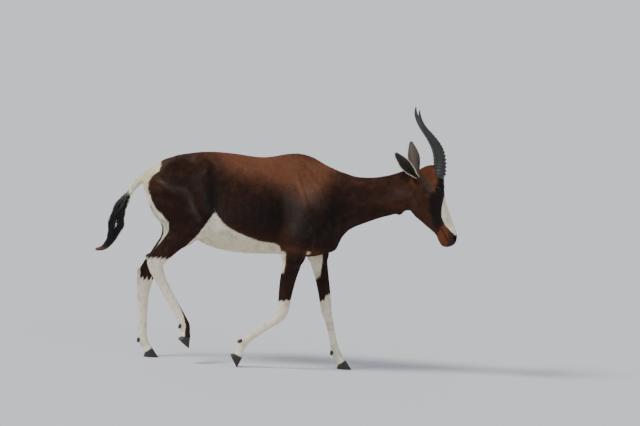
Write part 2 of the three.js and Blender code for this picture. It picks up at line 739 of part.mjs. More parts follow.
// Tuft: a core to half way down, and flat locks rooted in it that overlap like tiles
const tuftAxis = smoothStations(TUFT_LINE, 4);
const TUFT_LOCKS = 17;
let tuft = loft(TUFT_LINE.slice(0, 5), 10, 1);
for (let i = 0; i < TUFT_LOCKS; i++) {
  const root = 1 + Math.floor((i / TUFT_LOCKS) * 19);
  const tip = Math.min(root + 12 + (i % 4), tuftAxis.length - 1);
  const turn = i * 2.4;
  const stations = [];
  const steps = 4;
  for (let k = 0; k <= steps; k++) {
    const s = tuftAxis[Math.round(mix(root, tip, k / steps))];
    const out = [0.55, 0.95, 1.02, 0.9, 0.75][k];
    const width = [9, 11, 9, 6.5, 2.2][k];
    const u = Math.cos(turn) * s[3] * out;
    const v = Math.sin(turn) * s[5] * out;
    stations.push([s[0] + u * 0.9, v, s[2] + u * 0.35, width * 0.5, width * 0.5, width]);
  }
  tuft = tuft.add(loft(stations, 5, 1, () => 1, vec(-Math.sin(turn), Math.cos(turn), 0)));
}
put("tail_tuft", keep(tuft, TUFT_SEAT.point, TUFT_SEAT.normal), LOOKS.black);

let neck = polygonise([...flesh, ...headFlesh], [300, -130, 560], [700, 130, 960], [27, 20, 22]);
neck = keep(neck, NECK_BASE.point, NECK_BASE.normal);
neck = keep(neck, NECK_TOP.point, opposite(NECK_TOP.normal));
put("neck", neck, LOOKS.brown);

// Head
let head = polygonise(headFlesh, [600, -100, 540], [870, 100, 950], [14, 12, 13.5]);
head = keep(head, NECK_TOP.point, NECK_TOP.normal);

// A horn with its rings, which are strong in front and fade towards the tip
function hornSolid(s) {
  const stations = HORN.map(([x, y, z, ...r]) => [x, s * y, z, ...r]);
  const swell = (along, angle) => {
    const ring = Math.sin(along * 2 * Math.PI * HORN_RINGS) > 0 ? 1 : 0;
    const front = 0.5 - 0.5 * Math.cos(angle);
    const fade = along < 0.12 || along > 0.72 ? 0 : 1;
    return 1 + RING_HEIGHT * ring * fade * (0.25 + 0.75 * front);
  };
  return loft(stations, 10, 4, swell);
}

// An ear in its own frame: along its length, across its opening, and out of its hollow
const EAR = [
  // share of the length, radius of the curve, half angle that the shell covers, thickness
  [0.08, 15, 2.5, 5],
  [0.2, 18, 2.2, 4.4],
  [0.36, 23, 1.85, 4],
  [0.54, 25, 1.55, 3.6],
  [0.72, 22, 1.3, 3.4],
  [0.87, 15, 1.1, 3.2],
  [1, 5, 0.9, 2.8],
];
function earSolid(base, tip, opening) {
  const axis = vec(...tip).sub(vec(...base));
  const length = axis.length();
  const a = axis.normalize();
  const o = vec(...opening);
  o.addScaledVector(a, -o.dot(a)).normalize();
  const w = new THREE.Vector3().crossVectors(a, o);
  const steps = 8;
  const rings = EAR.map(([share, radius, half, thick]) => {
    const ring = [];
    const spot = (r, angle) => {
      const q = vec(...base).addScaledVector(a, share * length);
      q.addScaledVector(o, radius * 0.6 - r * Math.cos(angle)).addScaledVector(w, r * Math.sin(angle));
      return q.toArray();
    };
    for (let i = 0; i <= steps; i++) ring.push(spot(radius, mix(-half, half, i / steps)));
    for (let i = steps; i >= 0; i--) ring.push(spot(radius - thick, mix(-half, half, i / steps)));
    return ring;
  });
  const shell = ringsToSolid(rings, true);
  const along = (share, r) => [...vec(...base).addScaledVector(a, share * length).toArray(), r, r, r];
  const root = [along(-0.13, 11), along(0.01, 13.3), along(0.1, 13.4), along(0.22, 9), along(0.34, 3)];
  return shell.add(loft(root, 8, 1));
}
const EARS = {
  right: { base: [655, -48, 862], tip: [550, -108, 954], opening: [-0.15, -0.9, -0.35] },
  left: { base: [655, 48, 868], tip: [630, 140, 990], opening: [0.25, 0.68, -0.69] },
};

for (const s of BOTH) {
  const seatPoint = [749, s * 28, HORN_SEAT];
  const hornWhole = hornSolid(s);
  head = head.subtract(bed(hornWhole, seatPoint, [0, 0, 1]));
  put(`horn_${side(s)}`, keep(hornWhole, seatPoint, [0, 0, 1]), LOOKS.horn);

  const ear = EARS[side(s)];
  const earWhole = earSolid(ear.base, ear.tip, ear.opening);
  put(`ear_${side(s)}`, earWhole.subtract(grown(head, GAP)), LOOKS.ear);

  // lids: a rim around the almond opening, then the opening and the socket
  const almond = (angle, grow) => {
    const c = Math.cos(angle);
    const v = Math.sin(angle);
    return [EYE.x + (15.5 + grow) * c + 2 * v, EYE.z + (10.5 + grow) * v * (1 - 0.12 * c) - 2.5 * c];
  };
  const LID = 14;
  const rim = Array.from({ length: LID }, (_, i) => {
    const angle = (2 * Math.PI * i) / LID;
    const [x, z] = almond(angle, 2.2);
    const offside = Math.hypot(x - EYE.x, z - EYE.z);
    const y = EYE.y + Math.sqrt(Math.max(EYE.radius ** 2 - offside ** 2, 0)) * 0.8 + 3;
    const radial = vec(x - EYE.x, 0, z - EYE.z).normalize();
    return Array.from({ length: 6 }, (_, k) => {
      const turn = (2 * Math.PI * k) / 6;
      const r = 5;
      const q = vec(x, y, z).addScaledVector(radial, r * Math.cos(turn));
      return [q.x, s * (q.y + r * Math.sin(turn)), q.z];
    });
  });
  head = head.add(hoopToSolid(rim));
  const slit = Array.from({ length: LID }, (_, i) => almond((2 * Math.PI * i) / LID, 0));
  head = head.subtract(prism(slit, s * EYE.y, s * 90));
  const ball = [];
  for (let i = 1; i < 7; i++) {
    const lat = (Math.PI * i) / 7;
    ball.push(
      Array.from({ length: 12 }, (_, k) => {
        const lon = (2 * Math.PI * k) / 12;
        const flat = EYE.radius * Math.sin(lat);
        return [
          EYE.x + flat * Math.cos(lon),
          s * (EYE.y + EYE.radius * Math.cos(lat)),
          EYE.z + flat * Math.sin(lon),
        ];
      }),
    );
  }
  const eyeball = ringsToSolid(ball);
  head = head.subtract(grown(eyeball, GAP));
  put(`eye_${side(s)}`, eyeball, LOOKS.eye);

  // nostril: a comma that runs up and back
  const nostril = [
    [842, s * 22, 594, 9, 5, 7],
    [834, s * 21, 603, 9, 6, 8],
    [825, s * 19, 614, 7, 5, 7],
    [815, s * 17, 625, 4, 3, 5],
  ];
  head = head.subtract(loft(nostril, 8, 1));
}

// Line of the mouth, from one corner round the front to the other
const mouthSide = [[768, 27, 648], [784, 29, 624], [800, 28, 598], [812, 20, 582]];
const mouthLine = [
  ...mouthSide.map(([x, y, z]) => [x, -y, z, 5, 5, 1.3]),
  [818, 0, 575, 5, 5, 1.3],
  ...mouthSide.toReversed().map(([x, y, z]) => [x, y, z, 5, 5, 1.3]),
];
head = head.subtract(loft(mouthLine, 6, 2, () => 1, vec(0.84, 0, 0.55)));
put("head", head, LOOKS.head);

// The origin lies on the floor under the middle of the whole length
const MIDDLE = 77;
const group = new THREE.Group();
group.position.x = -MIDDLE;
for (const [name, { solid, look }] of Object.entries(nodes)) {
  const mesh = solid.getMesh();
  const geometry = new THREE.BufferGeometry();
  geometry.setAttribute("position", new THREE.BufferAttribute(mesh.vertProperties, 3));
  geometry.setIndex(new THREE.BufferAttribute(mesh.triVerts, 1));
  geometry.computeVertexNormals();
  const piece = new THREE.Mesh(geometry, new THREE.MeshStandardMaterial({ metalness: 0, ...look }));
  piece.name = name;
  group.add(piece);
}

export default group;
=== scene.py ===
import math
from itertools import product

import bpy
import numpy as np
from bpy.props import FloatProperty, FloatVectorProperty, IntProperty, PointerProperty
from mathutils import Matrix


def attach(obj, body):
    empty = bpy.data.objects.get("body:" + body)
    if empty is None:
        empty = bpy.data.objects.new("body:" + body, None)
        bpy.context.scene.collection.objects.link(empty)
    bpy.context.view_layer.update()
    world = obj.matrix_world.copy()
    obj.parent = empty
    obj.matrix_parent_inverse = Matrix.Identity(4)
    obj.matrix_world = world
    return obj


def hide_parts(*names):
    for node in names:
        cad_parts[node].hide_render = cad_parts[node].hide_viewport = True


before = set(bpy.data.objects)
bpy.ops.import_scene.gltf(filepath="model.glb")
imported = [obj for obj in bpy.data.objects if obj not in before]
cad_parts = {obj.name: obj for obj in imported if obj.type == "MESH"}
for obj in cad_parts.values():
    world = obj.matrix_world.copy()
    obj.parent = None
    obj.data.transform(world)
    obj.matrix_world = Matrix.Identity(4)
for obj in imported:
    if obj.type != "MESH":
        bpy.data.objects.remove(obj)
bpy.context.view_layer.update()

bl_info = {
    "name": "Bontebok museum model",
    "version": (1, 0, 0),
    "blender": (4, 5, 0),
    "location": "View3D > Sidebar > Bontebok",
    "description": "Skin, coat, horns, hooves, eyes, tail and stage of a life-size walking bontebok",
    "category": "Object",
}

MIDDLE = 77.0  # mm from the modelling origin to the middle of the animal
SIDES = (-1.0, 1.0)  # right, then left
NAMED_SIDES = ((1, "left"), (-1, "right"))
UP = np.array([0.0, 0.0, 1.0])
VIEW_TURN, VIEW_TILT = math.radians(-3), math.radians(5)  # the camera's, in which the markings are drawn too
AIM = np.array([0.1779, 0.0, 0.6704])  # metres, the point that the camera looks at
TRUNK_AXIS = 690  # mm, height of the trunk's middle
LEG_TOP = 470  # mm, height at which the legs' coat begins
HIND_LEGS_TO = -150  # mm, x that parts the hind legs from the forelegs

# Flesh, in mm: x, y, z, radius to the front or back line, radius behind or below, radius to the side
TRUNK = [
    (-440, 0, 752, 72, 78, 58), (-380, 0, 735, 141, 128, 94), (-305, 0, 716, 180, 118, 114),
    (-245, 0, 704, 198, 162, 120), (-185, 0, 696, 206, 196, 127), (-110, 0, 690, 208, 208, 136),
    (-20, 0, 685, 203, 206, 143), (70, 0, 690, 200, 207, 137), (150, 0, 695, 195, 214, 124),
    (230, 0, 695, 175, 214, 107), (285, 0, 690, 150, 190, 88), (326, 0, 672, 118, 128, 66),
]
WITHERS = [
    (-40, 0, 836, 44, 60, 34), (30, 0, 846, 44, 60, 32), (95, 0, 867, 44, 70, 33),
    (150, 0, 873, 45, 80, 34), (205, 0, 858, 46, 80, 37), (265, 0, 818, 48, 80, 42),
]
NECK = [
    (285, 0, 712, 140, 124, 84), (345, 0, 725, 124, 122, 73), (415, 0, 738, 99, 106, 61),
    (490, 0, 753, 87, 90, 55), (560, 0, 776, 80, 90, 52), (622, 0, 812, 68, 98, 50),
]
HAUNCH_RIGHT = [(-322, -66, 812, 88, 100, 50), (-318, -75, 725, 118, 142, 55), (-300, -77, 646, 128, 132, 50)]
HAUNCH_LEFT = [(-328, 66, 810, 88, 104, 50), (-334, 75, 720, 118, 148, 55), (-326, 77, 640, 122, 130, 50)]
HIND_LEG_RIGHT = [
    (-300, -77, 646, 128, 132, 50), (-313, -76, 572, 75, 84, 43), (-346, -75, 522, 44, 52, 34),
    (-392, -74, 469, 36, 41, 26), (-424, -74, 434, 37, 40, 24), (-424, -73, 404, 31, 34, 23),
    (-413, -73, 374, 26, 28, 20), (-396, -73, 340, 22, 23, 16), (-351, -73, 268, 19.5, 21, 13.5),
    (-317, -73, 216, 19, 20, 13.5), (-297, -73, 182, 20, 20, 16), (-287, -73, 160, 22, 23, 18.5),
    (-281, -73, 136, 18.5, 20, 16.5), (-280, -73, 112, 18, 19, 18),
]
HIND_LEG_LEFT = [
    (-326, 77, 640, 122, 130, 50), (-335, 76, 568, 78, 84, 43), (-359, 76, 508, 52, 57, 34),
    (-400, 75, 454, 40, 44, 26), (-428, 75, 416, 37, 39, 24), (-450, 75, 380, 35, 37, 24),
    (-464, 75, 344, 34, 37, 22), (-468, 75, 310, 30, 32, 19.5), (-470, 75, 275, 26, 28, 16.5),
    (-470, 75, 225, 22.5, 24, 14), (-466, 75, 152, 19.5, 20, 13.5), (-463, 75, 106, 19, 20, 15),
    (-459, 75, 76, 21, 22, 18.5), (-446, 75, 50, 17.5, 19, 16.5), (-431, 75, 26, 18, 19, 18),
]
SHOULDER_RIGHT = [
    (140, -38, 846, 42, 44, 24), (178, -70, 780, 58, 62, 32), (210, -82, 705, 66, 72, 36),
    (222, -86, 645, 68, 78, 38), (192, -86, 588, 60, 74, 37), (160, -84, 534, 52, 56, 34),
    (150, -82, 492, 48, 46, 30),
]
SHOULDER_LEFT = [
    (150, 38, 846, 42, 44, 24), (190, 70, 780, 58, 62, 32), (224, 82, 705, 66, 72, 36),
    (242, 86, 645, 66, 80, 38), (240, 86, 588, 60, 72, 37), (252, 84, 534, 50, 54, 34),
    (262, 82, 490, 43, 44, 30),
]
FORELEG_RIGHT = [
    (151, -82, 500, 49, 47, 30), (146, -81, 452, 41, 41, 28), (138, -80, 398, 34, 36, 25),
    (132, -80, 348, 29, 32, 22), (129, -79, 306, 26, 29, 20), (126, -79, 268, 25, 26, 20),
    (118, -79, 238, 23.5, 24, 21), (101, -79, 216, 21.5, 19, 19.5), (78, -79, 197, 18, 17, 15.5),
    (46, -79, 172, 16, 16, 12.5), (6, -79, 140, 15, 16, 12), (-20, -79, 119, 16, 18, 14),
    (-34, -79, 101, 19, 20, 17.5), (-46, -79, 75, 16, 17.5, 15.5), (-54, -79, 47, 17.5, 18.5, 18),
]
FORELEG_LEFT = [
    (260, 82, 500, 44, 45, 30), (270, 81, 448, 38, 36, 27), (288, 80, 382, 30, 29, 23),
    (300, 80, 330, 27, 26, 21), (309, 79, 286, 25, 25, 20), (317, 79, 248, 21.5, 24, 20),
    (326, 79, 218, 18.5, 20, 17.5), (336, 79, 188, 16.5, 17.5, 14), (348, 79, 146, 15, 16, 12),
    (359, 79, 104, 15.5, 17, 13), (369, 79, 74, 18.5, 21, 17.5), (384, 79, 49, 16, 17.5, 15.5),
    (399, 79, 26, 17.5, 18.5, 18),
]
HEAD = [
    (694, 0, 852, 70, 60, 44), (716, 0, 822, 60, 74, 50), (727, 0, 794, 51, 90, 50),
    (738, 0, 766, 45, 102, 47), (749, 0, 738, 41, 109, 42), (760, 0, 711, 41, 94, 37),
    (771, 0, 683, 42, 75, 32.5), (783, 0, 655, 43, 56, 30), (794, 0, 627, 43.5, 43, 29.5),
    (802, 0, 607, 42.5, 40, 31), (809, 0, 589, 35, 36, 27),
]
DOCK = [
    (-404, 0, 830, 30, 26, 26), (-440, 0, 812, 27, 24, 23), (-478, 0, 790, 22, 20, 18.5),
    (-512, 0, 763, 17, 16, 15), (-540, 0, 730, 14, 14, 12.5), (-560, 0, 694, 11, 11, 10),
]
TUFT_LINE = [
    (-548, 0, 722, 15, 15, 14), (-572, 0, 680, 23, 23, 19), (-592, 0, 642, 28, 28, 21),
    (-602, 0, 602, 33, 33, 22), (-606, 0, 562, 33, 33, 20), (-616, 0, 524, 25, 25, 16),
    (-628, 0, 492, 18, 18, 11), (-650, 0, 464, 11, 11, 8), (-688, 0, 451, 4, 4, 3),
]
HORN = [
    (749, 27, 862, 23, 23, 21), (749, 29, 900, 24, 24, 21.5), (746, 34, 930, 24, 24, 21),
    (740, 43, 957, 22.5, 22.5, 19.5), (727, 56, 986, 20, 20, 17.5), (710, 70, 1011, 17, 17, 15.5),
    (692, 84, 1033, 14.5, 14.5, 13.5), (674, 97, 1054, 12.5, 12.5, 11.5), (658, 106, 1075, 10.5, 10.5, 10),
    (646, 112, 1097, 8.5, 8.5, 8), (639, 115, 1120, 6, 6, 5.6), (638, 114, 1144, 1.4, 1.4, 1.4),
]
HORN_ROOT = [(742, 20, 840, 10, 10, 10), (747, 24.5, 857, 18, 18, 18), (749, 27, 872, 24, 24, 23.4)]
EYE = (750.0, 43.0, 808.0, 16.0)
# Ear: share of its length, radius of the curve, half angle that the shell covers, thickness
EAR = [
    (0.0, 13, 2.7, 4.0), (0.1, 15.5, 2.45, 3.6), (0.22, 18.5, 2.15, 3.2), (0.36, 23, 1.85, 2.8),
    (0.54, 25, 1.55, 2.5), (0.72, 22, 1.3, 2.3), (0.87, 15, 1.1, 2.0), (0.965, 8, 0.95, 1.6),
    (1.0, 2.4, 0.85, 1.0),
]
EARS = [
    ((655, -48, 862), (550, -108, 954), (-0.15, -0.9, -0.35)),
    ((655, 48, 868), (630, 140, 990), (0.25, 0.68, -0.69)),
]
# Legs: stations, foot (x, z, pitch in degrees), point of the hock (x, z, radius), name of the upper node
LEGS = {
    "hind_right": (HIND_LEG_RIGHT, (-280, 112, 38),
                   [(-424, 432, 20), (-447, 441, 16), (-461, 448, 11.5)], "thigh"),
    "hind_left": (HIND_LEG_LEFT, (-431, 26, 0),
                  [(-456, 366, 20), (-482, 365, 16), (-493, 365, 11.5)], "thigh"),
    "fore_right": (FORELEG_RIGHT, (-54, 47, 60), None, "forearm"),
    "fore_left": (FORELEG_LEFT, (399, 26, 0), None, "forearm"),
}
# One claw of a hoof in the standing foot's own frame, mm
CLAW = dict(height=26, tilt=0.6, half_length=16, half_width=9.4, toe=42, heel=-20, sole=12)

# Outlines of the markings, seen from the side: x, z in mm
RUMP = [
    (-540, 870), (-425, 856), (-432, 800), (-459, 778), (-472, 751), (-471, 720), (-461, 681), (-439, 645),
    (-411, 622), (-393, 603), (-380, 590), (-378, 559), (-385, 533), (-418, 500), (-540, 470),
]
BELLY = [
    (-184, 642), (-141, 595), (-101, 571), (-30, 545), (22, 531), (73, 530), (95, 517), (108, 480), (112, 430),
    (-420, 400), (-420, 560), (-300, 680), (-194, 680),
]
BLAZE = [
    (786, 812), (780, 790), (774, 766), (770, 738), (770, 710), (773, 684), (788, 656), (806, 638), (822, 626),
    (834, 614), (856, 596), (900, 640), (900, 812),
]


def smooth_line(stations, per_span):
    """A smooth curve through the stations, all numbers alike."""
    s = np.array(stations, float)
    last = len(s) - 1
    out = []
    for i in range(last):
        p0, p1, p2, p3 = (s[min(max(i + k, 0), last)] for k in (-1, 0, 1, 2))
        m1, m2, rise = (p2 - p0) / 2, (p3 - p1) / 2, p2 - p1
        for j in range(per_span):
            t = j / per_span
            out.append(p1 + t * (m1 + t * (3 * rise - 2 * m1 - m2 + t * (m1 + m2 - 2 * rise))))
    out.append(s[last])
    return np.array(out)


def unit(v):
    v = np.asarray(v, float)
    return v / np.maximum(np.linalg.norm(v, axis=-1, keepdims=True), 1e-9)


def soft_step(x, lo, hi):
    t = np.clip((x - lo) / (hi - lo), 0, 1)
    return t * t * (3 - 2 * t)


def bell(x, width):
    """1 where x is 0, falling off over the width on both sides."""
    return np.exp(-((x / width) ** 2))


def join_soft(d, e, k):
    """Smooth union of two distances."""
    if k <= 0:
        return np.minimum(d, e)
    share = np.maximum(k - np.abs(d - e), 0) / k
    return np.minimum(d, e) - share * share * k / 4


def carve_soft(d, e, k):
    """Takes the inside of e away from d."""
    return -join_soft(-d, e, k)


class Sweep:
    """A chain of elliptical sections as a distance, with the lie of the hair along it."""

    def __init__(self, stations, blend=0.0, per_span=3, lie=1.0):
        line = smooth_line(stations, per_span).astype(np.float32)
        self.blend, self.lie = blend, lie
        self.a, self.b = line[:-1], line[1:]
        along = self.b[:, :3] - self.a[:, :3]
        self.length = np.linalg.norm(along, axis=1)
        self.t = unit(along).astype(np.float32)
        side = np.array([0.0, 1.0, 0.0])
        self.s = unit(side - self.t[:, 1:2] * self.t).astype(np.float32)
        self.n = np.cross(self.t, self.s)
        reach = line[:, 3:].max()
        self.lo, self.hi = line[:, :3].min(0) - reach, line[:, :3].max(0) + reach

    def distance(self, p, nearest=False):
        best = np.full(len(p), 1e9, np.float32)
        which = np.zeros(len(p), int)
        for k in range(len(self.length)):
            a, b, length = self.a[k], self.b[k], self.length[k]
            d = p - a[:3]
            w, u, v = d @ self.t[k], d @ self.n[k], d @ self.s[k]
            r0, rise = np.where(u > 0, a[3], a[4]), np.where(u > 0, b[3] - a[3], b[4] - a[4])
            h = np.clip(w / length, 0, 1)
            for again in (True, False):
                rn, rb = r0 + rise * h, a[5] + (b[5] - a[5]) * h
                rt = np.minimum(rn, rb)
                qu, qv = u / rn, v / rb
                if again:  # a taper moves the nearest section towards the thick end
                    taper = np.minimum(qu * qu, 1.5) * rise / rn + np.minimum(qv * qv, 1.5) * (b[5] - a[5]) / rb
                    h = np.clip((w + rt * rt * taper / length) / length, 0, 1)
            qw = (w - h * length) / rt
            q = np.sqrt(qu * qu + qv * qv + qw * qw)
            slope = np.sqrt((qu / rn) ** 2 + (qv / rb) ** 2 + (qw / rt) ** 2)
            e = np.where(q < 1e-6, -rt, (q - 1) * q / np.maximum(slope, 1e-9))
            if nearest:
                which = np.where(e < best, k, which)
            best = np.minimum(best, e)
        return (best, which) if nearest else best


def mirrored(stations, s):
    return [(st[0], s * st[1], *st[2:]) for st in stations]


def flesh_parts():
    """All sweeps of the body in the order in which they join."""
    parts = [
        Sweep(TRUNK, 0, 4, -1), Sweep(WITHERS, 26, 3, -1), Sweep(NECK, 40, 6, -1),
        Sweep(HAUNCH_RIGHT, 34), Sweep(HAUNCH_LEFT, 34), Sweep(SHOULDER_RIGHT, 30), Sweep(SHOULDER_LEFT, 30),
        Sweep([(318, 0, 610, 46, 46, 40), (300, 0, 545, 42, 42, 36)], 30, 1),
    ]
    for s in SIDES:
        parts.append(Sweep([(-262, 60 * s, 862, 21, 21, 21), (-232, 82 * s, 840, 21, 21, 21)], 34, 1, -1))
        parts.append(Sweep([(-446, 40 * s, 770, 24, 26, 26), (-462, 34 * s, 742, 26, 26, 26)], 30, 1))
    for name, (line, foot, heel, _) in LEGS.items():
        parts.append(Sweep(line, 24, 3))
        y, (fx, fz, pitch) = line[-1][1], foot
        c, v = math.cos(math.radians(pitch)), math.sin(math.radians(pitch))
        bulbs = [(fx + a * c + b * v, y, fz - a * v + b * c, r, r, w)  # of the heel
                 for a, b, r, w in ((2, 10, 10, 16), (-8, -1, 9.5, 15))]
        parts.append(Sweep(bulbs, 10, 1))
        if heel:
            parts.append(Sweep([(x, y, z, r, r, r * 0.8) for x, z, r in heel], 12, 2))
    parts.append(Sweep(DOCK, 16, 2))
    parts.append(Sweep(HEAD, 34, 3, -1))
    for s in SIDES:
        for line, blend, per_span in (
            ([(744, 22, 846, 24, 24, 21), (749, 27, 880, 23, 23, 21)], 16, 1),
            ([(742, 34, 822, 24, 24, 20), (752, 36, 800, 22, 22, 20), (760, 26, 776, 16, 20, 16)], 14, 2),
            ([(706, 26, 778, 34, 34, 22), (690, 24, 730, 30, 30, 18), (706, 18, 694, 24, 24, 14)], 18, 2),
            ([(822, 14, 634, 14, 16, 13), (830, 16, 608, 13, 14, 14), (828, 14, 594, 10, 12, 11)], 10, 2),
            ([(664, 34, 838, 24, 24, 20), (653, 47, 862, 19, 19, 16)], 16, 1),
            # bone over the eye, ridge of the cheek, edge of the jaw
            ([(734, 42, 828, 6, 6, 6), (752, 47, 829, 6.5, 6.5, 6.5), (768, 42, 819, 5, 5, 5)], 10, 2),
            ([(757, 43, 778, 7, 7, 7), (772, 37, 738, 6, 6, 6), (784, 30, 690, 5, 5, 5)], 18, 2),
            ([(664, 18, 706, 12, 12, 9), (690, 18, 684, 12, 12, 8), (716, 16, 664, 11, 11, 8),
              (748, 14, 634, 10, 10, 8)], 14, 2),
        ):
            parts.append(Sweep(mirrored(line, s), blend, per_span, -1))
    parts += [
        Sweep([(822, 0, 604, 18, 22, 24), (822, 0, 590, 15, 16, 20)], 12, 1, -1),
        Sweep([(790, 0, 600, 22, 22, 22), (796, 0, 584, 17, 16, 17)], 12, 1, -1),
        Sweep([(586, 0, 706, 14, 14, 10), (598, 0, 698, 12, 12, 9)], 14, 1, -1),
    ]
    return parts


PARTS = flesh_parts()

# Lines of the muscles and bones under the skin, seen from the side: points, width and depth in mm
LINES = [
    # hollow between the two muscles of the haunch, and the edge of its front
    ([(-420, 770), (-382, 742), (-330, 724), (-290, 690), (-262, 640), (-262, 590)], 13, 3.2),
    ([(-205, 850), (-186, 770), (-184, 700), (-176, 640)], 26, 4.5),
    ([(-446, 700), (-425, 640), (-392, 590), (-380, 540)], 10, 2.2),
    # tendon over the hock
    ([(-372, 520), (-408, 478), (-430, 452)], 6, 1.4),
    # back edge of the upper arm, front edge of the shoulder blade, and the groove between the arm muscles
    ([(96, 760), (104, 690), (112, 620), (92, 560), (94, 520)], 17, 5),
    ([(186, 850), (240, 780), (282, 700), (292, 640)], 15, 3.2),
    ([(150, 800), (190, 720), (214, 650), (200, 590)], 13, 2.4),
    ([(210, 640), (240, 590), (236, 540)], 10, 2.2),
    # groove of the neck
    ([(330, 650), (420, 690), (520, 712), (600, 740), (640, 760)], 13, 3.0),
    ([(340, 800), (430, 790), (540, 806), (620, 840)], 16, 1.8),
    # ridge of the shoulder blade, point of the hip, edge of the ribs
    ([(160, 830), (190, 760), (212, 700)], 9, -2.2),
    ([(-268, 862), (-236, 838)], 24, -1),
    ([(-150, 640), (-90, 600), (-20, 575), (60, 560)], 18, 2.2),
]
RIBS = [[(x, 790), (x - 16, 720), (x - 10, 640), (x + 10, 585)] for x in (-128, -92, -56, -20, 16, 52)]
RIB_HEIGHT = 0.55


def line_distance(x, z, points):
    """Distance in the side view to an open line of points."""
    best = np.full(len(x), 1e9)
    for (x0, z0), (x1, z1) in zip(points[:-1], points[1:]):
        dx, dz = x1 - x0, z1 - z0
        h = np.clip(((x - x0) * dx + (z - z0) * dz) / (dx * dx + dz * dz), 0, 1)
        best = np.minimum(best, np.hypot(x - x0 - h * dx, z - z0 - h * dz))
    return best


def outline_depth(x, z, outline):
    """Distance inside (above 0) or outside (below 0) a closed outline in the side view."""
    edge = line_distance(x, z, [*outline, outline[0]])
    inside = np.zeros(len(x), bool)
    for (x0, z0), (x1, z1) in zip(outline, [*outline[1:], outline[0]]):
        crosses = (z0 > z) != (z1 > z)
        with np.errstate(divide="ignore", invalid="ignore"):
            inside ^= crosses & (x < (x1 - x0) * (z - z0) / (z1 - z0 if z1 != z0 else 1e-9) + x0)
    return np.where(inside, edge, -edge)


def almond(grow, count=28):
    out = []
    for i in range(count):
        c, v = math.cos(2 * math.pi * i / count), math.sin(2 * math.pi * i / count)
        out.append((EYE[0] + (15.5 + grow) * c + 2 * v, EYE[2] + (10.3 + grow) * v * (1 - 0.12 * c) - 2.5 * c))
    return out


ALMOND = almond(0)
NOSTRIL = [(844, 23, 593, 8, 5, 6), (836, 22, 602, 8.5, 5.5, 8), (826, 20, 613, 6.5, 4.5, 7),
           (815, 17.5, 625, 3.5, 2.5, 5)]
NOSTRIL_RIM = [(838, 20, 592, 5, 5, 5), (822, 22, 600, 5, 5, 5), (812, 21, 616, 4.5, 4.5, 4.5),
               (812, 17, 630, 4, 4, 4)]
MOUTH = [(772, 28, 642), (786, 29.5, 621), (800, 28.5, 598), (812, 21, 582), (818, 0, 574.5)]


def mouth_sweep(s, radius, shift=0.0):
    line = [(x + shift * 0.8, s * y, z + shift * 0.55, radius, radius, radius) for x, y, z in MOUTH]
    return Sweep(line, 0, 3)


FACE = {
    "nostril": [Sweep(mirrored(NOSTRIL, s), 0, 2) for s in SIDES],
    "rim": [Sweep(mirrored(NOSTRIL_RIM, s), 0, 2) for s in SIDES],
    "mouth": [mouth_sweep(s, 1.4) for s in SIDES],
    "upper_lip": [mouth_sweep(s, 4.2, 6.0) for s in SIDES],
    "lower_lip": [mouth_sweep(s, 3.6, -5.0) for s in SIDES],
    "gland": [Sweep([(769, 38.5 * s, 783, 2.2, 2.2, 3), (775, 36.5 * s, 773, 1.2, 1.2, 3)], 0, 2)
              for s in SIDES],
}


def face_distance(p, name):
    """Distance to one pair of the face's shapes."""
    return np.minimum(*[part.distance(p.astype(np.float32)) for part in FACE[name]])


def coronets():
    """Planes that end the skin at the hooves: point and normal."""
    out = []
    for name, (line, (fx, fz, pitch), _, _) in LEGS.items():
        a = math.radians(pitch)
        n = unit([0.6 * math.cos(a) - math.sin(a), 0, -0.6 * math.sin(a) - math.cos(a)])
        out.append((np.array([fx, line[-1][1], fz], float), n))
    return out


CORONETS = coronets()


def flesh(p):
    """Distance to the flesh: sweeps, then the lines of muscles, then the face."""
    p = np.asarray(p, np.float32)
    d = np.full(len(p), 1e3, np.float32)
    for part in PARTS:
        off = np.maximum(part.lo - p, p - part.hi).max(axis=1)
        near = np.flatnonzero(off < np.minimum(d, 60) + part.blend + 5)
        if len(near):
            d[near] = join_soft(d[near], part.distance(p[near]), part.blend)
    x, y, z = p.T
    near = np.flatnonzero((np.abs(d) < 20) & (x < 660))
    if len(near):
        xn, yn, zn = x[near], np.abs(y[near]), z[near]
        add = np.zeros(len(near))
        wide = soft_step(yn, 18, 46)
        shift = np.where(y[near] > 0, 14.0, 0.0) * soft_step(700 - zn, 0, 120) * np.sign(xn)
        for points, width, depth in LINES:
            add += depth * bell(line_distance(xn - shift, zn, points), width) * wide
        for points in RIBS:
            add -= RIB_HEIGHT * bell(line_distance(xn, zn, points), 13) * wide
        d[near] += add * soft_step(zn, 440, 480)
    for point, n in CORONETS:
        near = np.flatnonzero((np.abs(p - point).max(axis=1) < 70) & (np.abs(d) < 60))
        if len(near):
            d[near] = carve_soft(d[near], -((p[near] - point) @ n) + 0.6, 2.5)
    near = np.flatnonzero((x > 700) & (np.abs(d) < 25))
    if len(near):
        d[near] = face(p[near], d[near])
    return d


